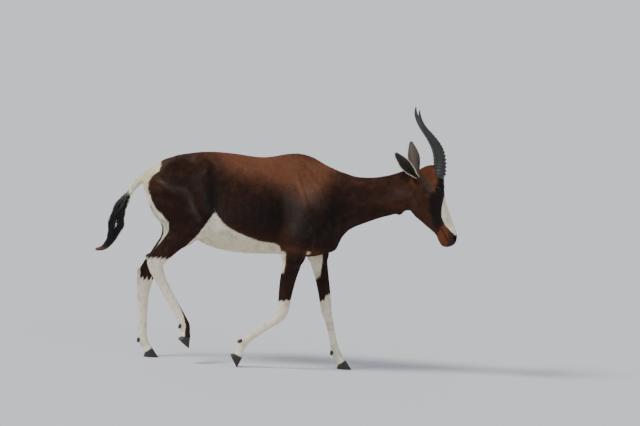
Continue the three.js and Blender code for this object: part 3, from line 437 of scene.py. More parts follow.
def face(p, d):
    """Lids, nostrils, lips and tear gland of the head."""
    for name, blend in (("rim", 7), ("upper_lip", 7), ("lower_lip", 7)):
        for part in FACE[name]:
            d = join_soft(d, part.distance(p), blend)
    for name, blend in (("nostril", 3), ("mouth", 2.5), ("gland", 4)):
        for part in FACE[name]:
            d = carve_soft(d, part.distance(p), blend)
    x, y, z = p[:, 0], np.abs(p[:, 1]), p[:, 2]
    near = np.flatnonzero((np.abs(x - EYE[0]) < 34) & (np.abs(z - EYE[2]) < 30) & (y > 30))
    if len(near):
        e, ball = d[near], np.sqrt((x[near] - EYE[0]) ** 2 + (y[near] - EYE[1]) ** 2 + (z[near] - EYE[2]) ** 2)
        opening = -outline_depth(x[near], z[near], ALMOND)
        yn = y[near]
        e = carve_soft(e, ball - EYE[3] - 0.3, 0.5)
        e = carve_soft(e, np.maximum(opening, EYE[1] + 2 - yn), 2)
        around = np.maximum(-opening, np.maximum(opening - 7, 48 - yn))
        lid = np.maximum(np.abs(ball - EYE[3] - 1.7) - 1.35, around)
        e = join_soft(e, lid, 3.5)
        fold = bell(opening - 6.5, 1.6) * soft_step(z[near] - EYE[2], -4, 6)
        d[near] = e + 0.9 * fold
    groove = np.hypot(y / 1.6, (x - 842) / 8) - 1  # between the nostrils
    deep = 1.2 * np.exp(-np.maximum(groove, 0) ** 2 * 3)
    return d + deep * soft_step(z, 576, 588) * soft_step(625 - z, 0, 14)


def coat_depth(p, depth):
    """How far the skin lies under the solids: less on the face and the feet."""
    x, z = p[:, 0], p[:, 2]
    return depth * (1 - 0.6 * soft_step(x, 640, 720)) * (1 - 0.5 * soft_step(460 - z, 0, 120))


def net(lo, cells, cell, depth):
    """Surface nets of the skin in a box: points and quads, open where the box ends."""
    lo, n = np.array(lo, float), np.array(cells) + 1
    step = 4
    m = (n + step - 1) // step + 1
    grid = np.stack(np.meshgrid(*(np.arange(k) for k in m), indexing="ij"), -1).reshape(-1, 3)
    rough = flesh(lo + (grid * step + (step - 1) / 2) * cell).reshape(m)
    near = np.abs(rough) < cell * step * 1.5 + 8
    spread = lambda a: a.repeat(step, 0).repeat(step, 1).repeat(step, 2)[: n[0], : n[1], : n[2]]
    value, mask = spread(rough).copy(), spread(near)
    at = np.argwhere(mask)
    p = lo + at * cell
    value[mask] = flesh(p) + coat_depth(p, depth)
    inside = value < 0
    corner = list(product((0, 1), repeat=3))
    cut = [inside[i : n[0] - 1 + i, j : n[1] - 1 + j, k : n[2] - 1 + k] for i, j, k in corner]
    active = np.logical_or.reduce(cut) & ~np.logical_and.reduce(cut)
    cells = np.argwhere(active)
    index = np.full(active.shape, -1)
    index[active] = np.arange(len(cells))
    v = np.stack([value[tuple((cells + c).T)] for c in corner], 1)
    total, count = np.zeros((len(cells), 3)), np.zeros(len(cells))
    for a, b in product(range(8), range(8)):
        ca, cb = np.array(corner[a]), np.array(corner[b])
        if (cb - ca).sum() != 1 or (cb < ca).any():
            continue
        crosses = (v[:, a] < 0) != (v[:, b] < 0)
        t = np.where(crosses, v[:, a] / np.where(crosses, v[:, a] - v[:, b], 1), 0)
        total += (ca + t[:, None] * (cb - ca)) * crosses[:, None]
        count += crosses
    points = lo + (cells + total / count[:, None]) * cell
    quads = []
    for axis in range(3):
        ahead = np.roll(inside, -1, axis)
        change = inside != ahead
        change[tuple(-1 if a == axis else slice(None) for a in range(3))] = False
        at = np.argwhere(change)
        b, c = np.eye(3, dtype=int)[(axis + 1) % 3], np.eye(3, dtype=int)[(axis + 2) % 3]
        ring = np.stack([at - b - c, at - c, at, at - b], 1)
        good = ((ring >= 0) & (ring < np.array(active.shape))).all((1, 2))
        at, ring = at[good], ring[good]
        quad = index[tuple(ring.transpose(2, 0, 1))]
        flip = ~inside[tuple(at.T)]
        quad[flip] = quad[flip][:, ::-1]
        quads.append(quad)
    return points, np.concatenate(quads)


def gradient(p, depth, e=0.4):
    d = flesh(p) + coat_depth(p, depth)
    g = np.stack([flesh(p + e * axis) + coat_depth(p + e * axis, depth) - d for axis in np.eye(3)], 1) / e
    return d, g


def settle(p, depth, most, times):
    """Moves points onto the skin, by at most a step."""
    for _ in range(times):
        d, g = gradient(p, depth)
        move = -d[:, None] * g / np.maximum((g * g).sum(1), 0.05)[:, None]
        size = np.linalg.norm(move, axis=1, keepdims=True)
        p = p + move * np.minimum(1, most / np.maximum(size, 1e-9))
    return p


def split_quads(p, quads):
    a, b, c, d = (p[quads[:, i]] for i in range(4))
    short = np.linalg.norm(a - c, axis=1) <= np.linalg.norm(b - d, axis=1)
    q1, q2 = quads[short], quads[~short]
    return np.concatenate([q1[:, [0, 1, 2]], q1[:, [0, 2, 3]], q2[:, [0, 1, 3]], q2[:, [1, 2, 3]]])


def relax(p, tris):
    """Evens out the points, each half way towards the middle of its neighbours."""
    edges = np.concatenate([tris[:, [0, 1]], tris[:, [1, 2]], tris[:, [2, 0]]])
    total, count = np.zeros_like(p), np.zeros(len(p))
    for i, j in ((0, 1), (1, 0)):
        np.add.at(total, edges[:, i], p[edges[:, j]])
        np.add.at(count, edges[:, i], 1)
    return p + 0.5 * (total / np.maximum(count, 1)[:, None] - p)


def edge_loops(tris):
    """Open edges of a mesh as loops of points, in the direction of its faces."""
    edges = np.concatenate([tris[:, [0, 1]], tris[:, [1, 2]], tris[:, [2, 0]]])
    have = {tuple(e) for e in edges.tolist()}
    after = {a: b for a, b in have if (b, a) not in have}
    loops = []
    while after:
        start, b = after.popitem()
        loop = [start]
        while b != start:
            loop.append(b)
            b = after.pop(b)
        loops.append(loop)
    return loops


def stitch(p, loop_a, loop_b):
    """Triangles between two loops that face each other."""
    b = loop_b[::-1]
    start = int(np.argmin(np.linalg.norm(p[b] - p[loop_a[0]], axis=1)))
    b = b[start:] + b[:start]
    i = j = 0
    out = []
    while i < len(loop_a) or j < len(b):
        a0, a1 = loop_a[i % len(loop_a)], loop_a[(i + 1) % len(loop_a)]
        b0, b1 = b[j % len(b)], b[(j + 1) % len(b)]
        step_a = np.linalg.norm(p[a1] - p[b0]) <= np.linalg.norm(p[a0] - p[b1])
        if j >= len(b) or (i < len(loop_a) and step_a):
            out.append((a1, a0, b0))
            i += 1
        else:
            out.append((b0, b1, a0))
            j += 1
    return out


def refine(p, tris, marked):
    """Halves the edges of the marked triangles; neighbours are split to match."""
    edges = np.sort(np.stack([tris[:, [0, 1]], tris[:, [1, 2]], tris[:, [2, 0]]], 1), axis=2)
    key = edges[..., 0].astype(np.int64) * len(p) + edges[..., 1]
    chosen = np.unique(key[marked])
    split = np.isin(key, chosen)
    place = np.searchsorted(chosen, key)
    middle = np.where(split, len(p) + np.minimum(place, len(chosen) - 1), -1)
    new = (p[chosen // len(p)] + p[chosen % len(p)]) / 2
    out = [tris[split.sum(1) == 0]]
    three = split.all(1)
    t, m = tris[three], middle[three]
    out += [np.stack([t[:, 0], m[:, 0], m[:, 2]], 1), np.stack([m[:, 0], t[:, 1], m[:, 1]], 1),
            np.stack([m[:, 2], m[:, 1], t[:, 2]], 1), m]
    for k in range(3):
        a, b, c = k, (k + 1) % 3, (k + 2) % 3
        one = split[:, a] & ~split[:, b] & ~split[:, c]
        t, m = tris[one], middle[one]
        out += [np.stack([t[:, a], m[:, a], t[:, c]], 1), np.stack([m[:, a], t[:, b], t[:, c]], 1)]
        two = split[:, a] & split[:, b] & ~split[:, c]
        t, m = tris[two], middle[two]
        out += [np.stack([m[:, a], t[:, b], m[:, b]], 1), np.stack([t[:, a], m[:, a], m[:, b]], 1),
                np.stack([t[:, a], m[:, b], t[:, c]], 1)]
    return np.concatenate([p, new]), np.concatenate(out)


def body_skin(depth):
    """One closed skin over trunk, neck, head, tail dock and legs: fine nets joined to a coarser one."""
    cut_x, cut_z, coarse, middling, fine = 622.0, 452.0, 7.4, 4.15, 2.5
    boxes = [((cut_x - 165 * coarse, -22.5 * coarse, cut_z), (165, 45, 68), coarse),
             ((cut_x, -33.5 * fine, 556), (98, 67, 158), fine)]
    for line, _, heel, _ in LEGS.values():
        low = [s for s in line if s[2] < cut_z + 40] + ([(heel[-1][0], 0, 400)] if heel else [])
        x, y, down = [s[0] for s in low], line[-1][1], cut_z - min(s[2] for s in low) + 34
        cells = (int((max(x) - min(x) + 96) / middling), 19, int(down / middling))
        boxes.append(((min(x) - 48, y - 9.5 * middling, cut_z - cells[2] * middling), cells, middling))
    meshes, loops, total = [], [], 0
    for lo, cells, cell in boxes:
        p, quads = net(lo, cells, cell, depth)
        tris = split_quads(p, quads)
        edge = np.unique(np.concatenate(edge_loops(tris)))
        fixed = p[edge].copy()
        for _ in range(2):
            q = relax(p, tris)
            q[edge] = fixed
            p = settle(q, depth, cell, 1)
        p = settle(p, depth, cell * 0.5, 1)
        for loop in edge_loops(tris):
            loops.append([v + total for v in loop])
        meshes.append((p, tris + total))
        total += len(p)
    p = np.concatenate([m[0] for m in meshes])
    tris = [m[1] for m in meshes]
    middles = [p[loop].mean(0) for loop in loops]
    free = list(range(len(loops)))
    while free:
        i = free.pop(0)
        j = min(free, key=lambda k: np.linalg.norm(middles[k] - middles[i]))
        free.remove(j)
        tris.append(np.array(stitch(p, loops[i], loops[j])))
    return p, np.concatenate(tris)


def mesh_normals(p, tris):
    n = np.zeros_like(p)
    face = np.cross(p[tris[:, 1]] - p[tris[:, 0]], p[tris[:, 2]] - p[tris[:, 0]])
    for i in range(3):
        np.add.at(n, tris[:, i], face)
    return unit(n)


def lie_of_hair(p, normal):
    """Direction of the hair on the skin: back along the trunk, down the limbs, up the face."""
    flow = np.tile([-0.02, 0.0, -0.12], (len(p), 1))
    for part in PARTS:
        if len(part.length) < 6:
            continue
        off = np.maximum(part.lo - p, p - part.hi).max(axis=1)
        near = np.flatnonzero(off < 30)
        d, which = part.distance(p[near].astype(np.float32), nearest=True)
        weight = np.exp(-np.clip(d + 3, 0, 200) / 12)
        flow[near] += part.lie * weight[:, None] * part.t[which]
    flow -= (flow * normal).sum(1, keepdims=True) * normal
    return unit(flow)


def side_view(p):
    """Where a point shows in the side view in which the markings are drawn, the two sides alike."""
    a, e = VIEW_TURN, VIEW_TILT
    x, y, z = p[:, 0], -np.abs(p[:, 1]), p[:, 2]
    depth = -x * math.sin(a) + y * math.cos(a)
    return x * math.cos(a) + y * math.sin(a), z * math.cos(e) + depth * math.sin(e)


def patches(x, z, spots):
    """Sum of soft spots: x, z, half width, half height, strength."""
    total = np.zeros(len(x))
    for cx, cz, rx, rz, strength in spots:
        total += strength * np.exp(-(((x - cx) / rx) ** 2) - ((z - cz) / rz) ** 2)
    return np.clip(total, 0, 1)


SADDLE = [
    (-130, 884, 130, 60, 0.75), (10, 858, 130, 68, 0.95), (130, 838, 90, 84, 1.0), (228, 818, 62, 80, 0.9),
    (186, 742, 34, 44, 0.45), (290, 860, 60, 40, 0.5), (400, 815, 120, 30, 0.2), (560, 800, 60, 60, 0.15),
    (640, 780, 50, 60, 0.2),
]
# Rufous patches of the coat: x, z, half width, half height, strength. The broad low patch under the belly is
# painted warm bounce light: it turns the shaded white of the belly cream and warms the lower flank.
RUST_AND_WARM_BOUNCE = [
    (-418, 866, 22, 26, 0.9), (-500, 790, 56, 60, 0.9), (-40, 512, 190, 30, 0.4), (240, 498, 34, 16, 0.9),
    (114, 560, 14, 46, 0.3), (150, 505, 30, 16, 0.2), (658, 815, 16, 14, 0.8), (634, 826, 12, 10, 0.6),
    (560, 730, 60, 22, 0.35),
]
RUST_BROW = [(640, 907), (677, 905), (714, 900), (742, 888), (741, 833), (735, 794), (722, 796), (703, 818),
             (690, 845), (665, 838), (636, 850)]
RUST_MUZZLE = [(755, 612), (768, 636), (779, 655), (794, 655), (803, 634), (806, 601), (818, 577), (798, 560),
               (770, 565), (752, 590)]
BLACK_MASK = [(740, 900), (790, 900), (790, 800), (768, 776), (776, 650), (760, 622), (735, 668), (716, 720),
              (712, 760), (722, 788), (738, 794), (743, 833)]
SHADE = [
    (-330, 690, 95, 110, 0.35), (-198, 752, 36, 110, 0.85), (-196, 660, 34, 60, 0.5), (70, 660, 80, 85, 0.85),
    (-40, 640, 110, 60, 0.5), (210, 590, 40, 90, 0.75), (292, 640, 46, 90, 0.85), (330, 700, 40, 80, 0.5),
    (-360, 540, 60, 60, 0.3), (150, 420, 60, 80, 0.5), (270, 420, 60, 90, 0.5),
]
# Painted sheen: grey veils where highlights lie on the glossy hair of shoulder and haunch, and a painted glint
# on the cheek; x, z, half width, half height, strength
PAINTED_SHEEN = [(118, 740, 16, 44, 0.3), (158, 700, 34, 52, 0.4), (206, 752, 34, 38, 0.28), (150, 620, 22, 50, 0.25),
         (702, 775, 8, 6, 0.4)]
# Painted highlight along the ridge of the haunch, as a line in the side view
PAINTED_SHEEN_STREAK = [(-440, 768), (-381, 742), (-322, 730), (-294, 706), (-279, 650), (-250, 612)]
EAR_STREAK = [(652, 864), (682, 838), (716, 804)]


def markings(p, kind=None):
    """Where each colour of the coat lies, painted sheen and painted warm bounce light among them: depths in mm
    and soft shares from 0 to 1.
    """
    x, z = side_view(p)
    px, y, pz = p[:, 0], np.abs(p[:, 1]), p[:, 2]
    left = p[:, 1] > 0
    back = np.where(left, (14.0 + 22.0 * soft_step(y, 48, 72)) * soft_step(770 - pz, 0, 120), 0)
    white = outline_depth(x + back, z, RUMP)
    # ahead of the front edge of the thigh
    ahead = 0.8 * (x - np.interp(z, [500, 539, 642], [-290, -256, -184]))
    belly = np.minimum(outline_depth(x, z, BELLY), np.maximum(58 - y, ahead))
    groin = np.minimum(np.minimum(62 - y, 640 - pz), np.minimum(-165 - px, pz - 462))
    white = np.maximum(white, np.maximum(belly, groin))
    # legs: the upper edge of the white, and the pale inner side of the upper leg
    for name, (line, _, _, _) in LEGS.items():
        line = np.array(line, float)
        mine = (left == (line[0, 1] > 0)) & (pz < 520) & ((px < HIND_LEGS_TO) == name.startswith("hind"))
        at = np.flatnonzero(mine)
        cx = np.interp(-pz[at], -line[:, 2], line[:, 0])
        inner, front = abs(line[-1, 1]) - y[at], px[at] - cx
        zl = pz[at]
        ragged = 5 * np.sin(front * 0.33) + 3 * np.sin(front * 0.71 + inner * 0.2)
        if name == "hind_right":
            low = 446 - zl + ragged
            stripe = line_distance(px[at], zl, [(-330, 290), (-278, 218), (-258, 172), (-254, 112)])
            low = np.minimum(low, stripe - np.interp(zl, [118, 180, 262, 300], [29, 26, 12, 2]))
        elif name == "hind_left":
            low = np.maximum(338 - zl + 1.6 * ragged, np.minimum(-488 - px[at], 402 - zl))
        elif name == "fore_right":
            low = 299 - zl + 0.12 * front + 0.7 * ragged
            elbow = np.minimum(np.minimum(zl - 420, 508 - zl), 0.7 * inner - front - 12)
            low = np.maximum(low, elbow)
        else:
            low = np.interp(front, [-22, -6, 6, 20], [288, 296, 315, 323]) - zl + 0.4 * ragged
            elbow = np.interp(zl, [384, 405, 470], [-26, -4, 18]) - front
            low = np.maximum(low, np.minimum(np.minimum(zl - 383, 500 - zl), np.minimum(elbow, inner + 6)))
        keep = np.maximum(white[at], -60) if name.startswith("hind") else np.full(len(at), -60.0)
        below = np.maximum(np.minimum(keep, inner - 4), low)
        white[at] = np.where(zl > LEG_TOP, np.maximum(white[at], low), below)
    axilla = np.minimum(8 - np.hypot((x - 222) / 1.7, z - 497), 76 - y)
    white = np.where(px > 150, np.maximum(white, axilla), white)
    dock = (px < -428) & (pz > 640) & (y < 40)
    white = np.where(dock, np.maximum(white, 18 - 0.3 * np.maximum(px + 440, 0)), white)
    head = px > 640
    strip = 13 + 15 * soft_step(835 - pz, 0, 60) - y
    strip = np.minimum(np.minimum(strip, pz - 760), np.minimum(872 - pz, px - 742))
    blaze = np.maximum(outline_depth(x, z, BLAZE), strip)
    white = np.where(head, np.minimum(blaze, 60), white)
    saddle = patches(x, z, SADDLE)
    border = bell(white + 4, 4.5) * (belly > -30) * soft_step(px, -170, -120)
    # the rust share: real rufous, and under the belly painted warm bounce light
    rust = np.maximum(patches(x, z, RUST_AND_WARM_BOUNCE), 0.55 * border)
    shade = patches(x, z, SHADE)
    # painted highlight along the ridge of the haunch
    painted_streak = 0.5 * bell(line_distance(x, z, PAINTED_SHEEN_STREAK), 11) * (px < 0)
    bloom = np.maximum(patches(x, z, PAINTED_SHEEN), painted_streak)
    brow = soft_step(outline_depth(x, z, RUST_BROW), -6, 9)
    muzzle = soft_step(outline_depth(x, z, RUST_MUZZLE), -5, 6)
    rust = np.where(head, np.maximum(rust, np.maximum(0.7 * brow, 0.9 * muzzle)), rust)
    mask = soft_step(outline_depth(x, z, BLACK_MASK), -14, 12)
    shade = np.where(head, np.maximum(0.25, np.maximum(mask, shade)) * (1 - muzzle) * (1 - 0.8 * brow), shade)
    saddle = np.where(head, np.maximum(saddle * 0.4, 0.25 * (1 - mask)), saddle)
    # bare leather of the nose, lips, lids
    nose = np.minimum(0.826 * (x - 806) - 0.562 * (z - 575), 40.0) + 2 * np.sin(z * 0.2)
    lips = 1.0 - face_distance(p, "mouth")
    hole = 3.0 - face_distance(p, "nostril")
    ball = np.sqrt((px - EYE[0]) ** 2 + (y - EYE[1]) ** 2 + (pz - EYE[2]) ** 2)
    lid = np.minimum(2.9 + outline_depth(px, pz, ALMOND), 20.5 - ball)
    bare = np.where(head, np.maximum(np.maximum(nose * 0.5, lips), np.maximum(hole, lid)), -30.0)
    root = bell(line_distance(x, z, EAR_STREAK), 13) * head
    shade = np.maximum(shade, 0.75 * root)
    rust = rust * (1 - 0.7 * root)
    grey = 0.26 * root
    out = dict(white=white, saddle=saddle, rust=rust, shade=shade, bloom=bloom, bare=bare, grey=grey)
    if kind is not None:  # ears: outer side grey-brown, rims pale, inside pale and half bare
        inner, rim, share = kind
        tip = soft_step(share, 0.9, 1.0)
        out["white"] = np.where(inner > 0.5, -4 + 6.5 * rim - 8 * tip, -9 + 10 * rim - 8 * tip)
        out["grey"] = np.clip(0.5 + 0.3 * share, 0, 1) * (1 - 0.5 * tip)
        out["rust"] = 0.6 * soft_step(0.24 - share, 0, 0.2)
        out["shade"] = np.where(inner > 0.5, 0.7 * (1 - rim), 0.45 * tip)
        out["saddle"], out["bloom"], out["bare"] = 0 * share, 0 * share, 0 * share - 30
    return {name: np.asarray(value, np.float32) for name, value in out.items()}


def ring_faces(rings, around):
    """Triangles between rings of equal length, in a list."""
    i = np.arange(around)
    j = (i + 1) % around
    out = []
    for low in range(0, (rings - 1) * around, around):
        high = low + around
        out += [np.stack([low + i, low + j, high + j], 1), np.stack([low + i, high + j, high + i], 1)]
    return out


def points_in(p, tris, middle):
    """True where the faces round a middle point to its inside."""
    v = p[tris] - middle
    return np.einsum("ij,ij->i", v[:, 0], np.cross(v[:, 1], v[:, 2])).sum() < 0


def facing_out(p, tris, middle):
    return tris[:, ::-1] if points_in(p, tris, middle) else tris


def ear_shell(base, tip, opening):
    """A cupped shell on the ear's axis: points, faces, side and edge shares, and direction of hair."""
    base, tip = np.array(base, float), np.array(tip, float)
    length = np.linalg.norm(tip - base)
    a = (tip - base) / length
    o = unit(np.array(opening) - (np.array(opening) @ a) * a)
    w = np.cross(a, o)
    rows = smooth_line([(0, 0, 0, *r) for r in EAR], 6)[:, 3:]
    steps = 26
    across = np.linspace(-1, 1, steps + 1)
    angle = np.concatenate([across, across[::-1]])
    inner = np.concatenate([np.zeros(steps + 1), np.ones(steps + 1)])
    rings, kinds = [], []
    for share, radius, half, thick in rows:
        th = angle * half
        edge = np.abs(angle)
        wall = thick * (1 - 0.55 * edge**3)
        wave = 0.7 * np.sin(share * 19 + angle * 3) * edge**2 + bell(angle, 0.35) * (share < 0.6)
        r = radius - inner * wall + wave * 0.6
        q = base + a * share * length + np.outer(radius * 0.6 - r * np.cos(th), o) + np.outer(r * np.sin(th), w)
        rings.append(q)
        kinds.append(np.stack([inner, soft_step(edge, 0.8, 0.97), np.full(len(inner), share), angle], 1))
    p, kind = np.concatenate(rings), np.concatenate(kinds)
    m = len(angle)
    tris = ring_faces(len(rings), m)
    for at, flip in ((0, False), ((len(rings) - 1) * m, True)):
        i = np.arange(steps)
        k = m - 1 - i
        cap = np.concatenate([np.stack([at + i, at + k, at + k - 1], 1),
                              np.stack([at + i, at + k - 1, at + i + 1], 1)])
        tris.append(cap[:, ::-1] if flip else cap)
    return p, facing_out(p, np.concatenate(tris), base), kind, a


# Meshes in Blender


def build(name, p, tris, attributes=None, material=None, smooth=True, uv=None):
    """A mesh object from points in mm, placed in the frame of the solids."""
    mesh = bpy.data.meshes.new(name)
    p = (np.asarray(p, float) - [MIDDLE, 0, 0]) / 1000
    tris = np.asarray(tris)
    mesh.vertices.add(len(p))
    mesh.vertices.foreach_set("co", p.ravel())
    sides = tris.shape[1]
    mesh.loops.add(len(tris) * sides)
    mesh.polygons.add(len(tris))
    mesh.loops.foreach_set("vertex_index", tris.ravel())
    mesh.polygons.foreach_set("loop_start", np.arange(0, len(tris) * sides, sides))
    mesh.polygons.foreach_set("use_smooth", np.full(len(tris), smooth))
    mesh.update(calc_edges=True)
    for key, value in (attributes or {}).items():
        mesh.attributes.new(key, "FLOAT", "POINT").data.foreach_set("value", np.asarray(value, np.float32))
    if uv is not None:
        mesh.uv_layers.new(name="OFBake").data.foreach_set("uv", np.asarray(uv, np.float32).ravel())
    mesh.validate(clean_customdata=False)
    if material:
        mesh.materials.append(material)
    obj = bpy.data.objects.new(name, mesh)
    bpy.context.scene.collection.objects.link(obj)
    return obj


def lathe_rings(rings):
    """Faces between rings of equal length, with the two ends closed by fans."""
    m, n = len(rings[0]), len(rings)
    p = np.concatenate([*rings, [np.mean(rings[0], 0)], [np.mean(rings[-1], 0)]])
    i = np.arange(m)
    j = (i + 1) % m
    end, first, last = (n - 1) * m, n * m, n * m + 1
    fans = [np.stack([np.full(m, first), j, i], 1), np.stack([np.full(m, last), end + i, end + j], 1)]
    return p, facing_out(p, np.concatenate(ring_faces(n, m) + fans), p.mean(0))


def tube(points, radii, sides=6, flat=1.0):
    """A tapered tube along points."""
    points = np.asarray(points, float)
    t = unit(np.gradient(points, axis=0))
    ref = np.array([0.0, 1.0, 0.0]) if abs(t[0, 1]) < 0.9 else np.array([1.0, 0.0, 0.0])
    b = unit(ref - (t @ ref)[:, None] * t)
    n = np.cross(t, b)
    ang = 2 * np.pi * np.arange(sides) / sides
    rings = [q + r * (np.outer(np.cos(ang), n[i]) + flat * np.outer(np.sin(ang), b[i]))
             for i, (q, r) in enumerate(zip(points, radii))]
    return lathe_rings(rings)


def merge(pieces):
    """Several point and face arrays as one."""
    points, faces, total = [], [], 0
    for p, tris in pieces:
        points.append(p)
        faces.append(tris + total)
        total += len(p)
    return np.concatenate(points), np.concatenate(faces)


TUFT_RIDGE, TUFT_JITTER = 0.12, 0.16  # height of a tuft's middle as a share of its width; spread of its lie


def tufts(rng, skin, chosen, count, length, width, lift, unwrap):
    """Flat closed tufts on the chosen faces, along the lie of the hair: points, faces, roots' values, UV."""
    p, tris, normal, flow, values = skin
    t = tris[chosen]
    area = np.linalg.norm(np.cross(p[t[:, 1]] - p[t[:, 0]], p[t[:, 2]] - p[t[:, 0]]), axis=1) / 2
    total = np.cumsum(area)
    at = np.searchsorted(total, (np.arange(count) + rng.random(count)) / count * total[-1])
    t = t[np.minimum(at, len(t) - 1)]
    u, v = rng.random((2, count))
    over = u + v > 1
    u, v = np.where(over, 1 - u, u), np.where(over, 1 - v, v)
    share = np.stack([1 - u - v, u, v], 1)
    at_root = lambda a: np.einsum("nk,nk...->n...", share, a[t])
    root, n = at_root(p), unit(at_root(normal))
    f = at_root(flow) + rng.normal(0, TUFT_JITTER, (count, 3))
    f = unit(f - (f * n).sum(1, keepdims=True) * n)
    s = np.cross(n, f)
    size = rng.uniform(0.75, 1.25, count)
    long_, wide = (length(root) * size)[:, None], (width(root) * rng.uniform(0.8, 1.2, count))[:, None]
    up = (lift * rng.uniform(0.5, 1.5, count))[:, None]
    root = root - 0.35 * n
    tip = root + long_ * (f + up * n)
    mid = root + long_ * 0.3 * f + (TUFT_RIDGE * wide + 0.35 + 0.3 * up * long_) * n
    points = np.stack([root - wide / 2 * s, root + wide / 2 * s, mid, tip], 1).reshape(-1, 3)
    base = 4 * np.arange(count)[:, None]
    faces = (base[:, :, None] + np.array([[0, 1, 2], [0, 2, 3], [2, 1, 3], [0, 3, 1]])).reshape(-1, 3)
    if points_in(points, faces[:4], points[:4].mean(0)):
        faces = faces[:, ::-1]
    out = {name: np.repeat(at_root(value), 4) for name, value in values.items()}
    out["tuft"] = np.repeat(rng.random(count), 4)
    out["tip"] = np.tile([0.0, 0.0, 0.3, 1.0], count)
    patch = np.array([[-0.0015, -0.0015], [0.0015, -0.0015], [0, 0.0002], [0, 0.0015]])
    uv = (unwrap(root)[:, None] + patch).reshape(-1, 2)[faces.ravel()]
    return points, faces, out, uv


def turn_of(a, b):
    return np.arctan2(a, b) / (2 * np.pi) + 0.5


def unwrap_trunk(x0, x1):
    """The trunk's flank rolled out: along it, and round it from the back to the belly."""
    def uv(p):
        turn = np.abs(np.arctan2(p[:, 1], p[:, 2] - TRUNK_AXIS)) / np.pi
        return np.stack([0.02 + 0.96 * (p[:, 0] - x0) / (x1 - x0), 0.02 + 0.92 * turn], 1)
    return uv


def unwrap_neck(p):
    middle = np.interp(p[:, 0], [285, 622], [712, 812])
    return np.stack([0.02 + 0.96 * (p[:, 0] - 320) / 310, 0.02 + 0.96 * turn_of(p[:, 1], p[:, 2] - middle)], 1)


def unwrap_head(p):
    t, n = np.array([0.4, -0.916]), np.array([0.916, 0.4])
    q = p[:, [0, 2]] - [720, 800]
    return np.stack([0.06 + 0.9 * ((q @ t) + 130) / 400, 0.02 + 0.96 * turn_of(p[:, 1], -(q @ n) - 10)], 1)


def unwrap_legs(p):
    out = np.zeros((len(p), 2))
    for i, (name, (line, _, _, _)) in enumerate(LEGS.items()):
        line = np.array(line, float)
        mine = ((p[:, 1] > 0) == (line[0, 1] > 0)) & ((p[:, 0] < HIND_LEGS_TO) == name.startswith("hind"))
        cx = np.interp(-p[mine, 2], -line[:, 2], line[:, 0])
        turn = turn_of(p[mine, 1] - line[-1, 1], p[mine, 0] - cx)
        out[mine] = np.stack([(i + 0.03 + 0.94 * turn) / 4, 0.02 + 0.96 * p[mine, 2] / 480], 1)
    return out


# Nodes


class Graph:
    """Adds nodes to a tree, each with its settings and with what feeds its sockets."""

    def __init__(self, tree):
        self.tree = tree

    def __call__(self, kind, settings=None, **feeds):
        node = self.tree.nodes.new(kind)
        for key, value in (settings or {}).items():
            setattr(node, key, value)
        for key, value in feeds.items():
            socket = node.inputs[int(key[1:])] if key[1:].isdigit() else node.inputs[key.replace("_", " ")]
            self.feed(value, socket)
        return node

    def feed(self, value, socket):
        if isinstance(value, bpy.types.Node):
            value = value.outputs[0]
        if isinstance(value, bpy.types.NodeSocket):
            self.tree.links.new(value, socket)
        else:
            socket.default_value = value

    def math(self, operation, a, b=0.0, c=0.0, clamp=False):
        node = self("ShaderNodeMath", {"operation": operation, "use_clamp": clamp}, _0=a, _1=b)
        if operation in ("MULTIPLY_ADD", "COMPARE"):
            self.feed(c, node.inputs[2])
        return node.outputs[0]

    def mix(self, share, a, b):
        return self("ShaderNodeMix", {"data_type": "RGBA"}, _0=share, _6=a, _7=b).outputs[2]

    def ramp(self, value, lo, hi, to_lo=0.0, to_hi=1.0):
        node = self("ShaderNodeMapRange", {"interpolation_type": "SMOOTHSTEP"}, _0=value, _1=lo, _2=hi)
        node.inputs[3].default_value, node.inputs[4].default_value = to_lo, to_hi
        return node.outputs[0]

    def read(self, name):
        return self("ShaderNodeAttribute", {"attribute_name": name}).outputs["Fac"]

    def vector(self, operation, a, b=(0, 0, 0), scale=1.0):
        node = self("ShaderNodeVectorMath", {"operation": operation}, _0=a, _1=b)
        if operation == "SCALE":
            self.feed(scale, node.inputs[3])
        return node.outputs["Value" if operation in ("DOT_PRODUCT", "LENGTH", "DISTANCE") else "Vector"]

    def shared(self, name, make, **feeds):
        """Places a node group, which is made for the first material that asks for it."""
        return self("ShaderNodeGroup", {"node_tree": bpy.data.node_groups.get(name) or make()}, **feeds)

    def stored(self, name, kind="FLOAT"):
        return self("GeometryNodeInputNamedAttribute", {"data_type": kind}, Name=name).outputs["Attribute"]

    def store(self, geometry, name, value, kind="FLOAT", domain="POINT"):
        return self("GeometryNodeStoreNamedAttribute", {"data_type": kind, "domain": domain},
                    Geometry=geometry, Name=name, Value=value)

    def noise(self, vector, scale, detail=2.0, roughness=0.5):
        return self("ShaderNodeTexNoise", None, Vector=vector, Scale=scale, Detail=detail, Roughness=roughness)


def group(name, kind, inputs, outputs):
    """An empty node group with named sockets, its graph, and its two ends."""
    tree = bpy.data.node_groups.new(name, kind)
    for direction, sockets in (("INPUT", inputs), ("OUTPUT", outputs)):
        for label, socket_kind, *default in sockets:
            socket = tree.interface.new_socket(label, in_out=direction, socket_type="NodeSocket" + socket_kind)
            if default:
                socket.default_value = default[0]
    return Graph(tree), tree.nodes.new("NodeGroupInput").outputs, tree.nodes.new("NodeGroupOutput").inputs


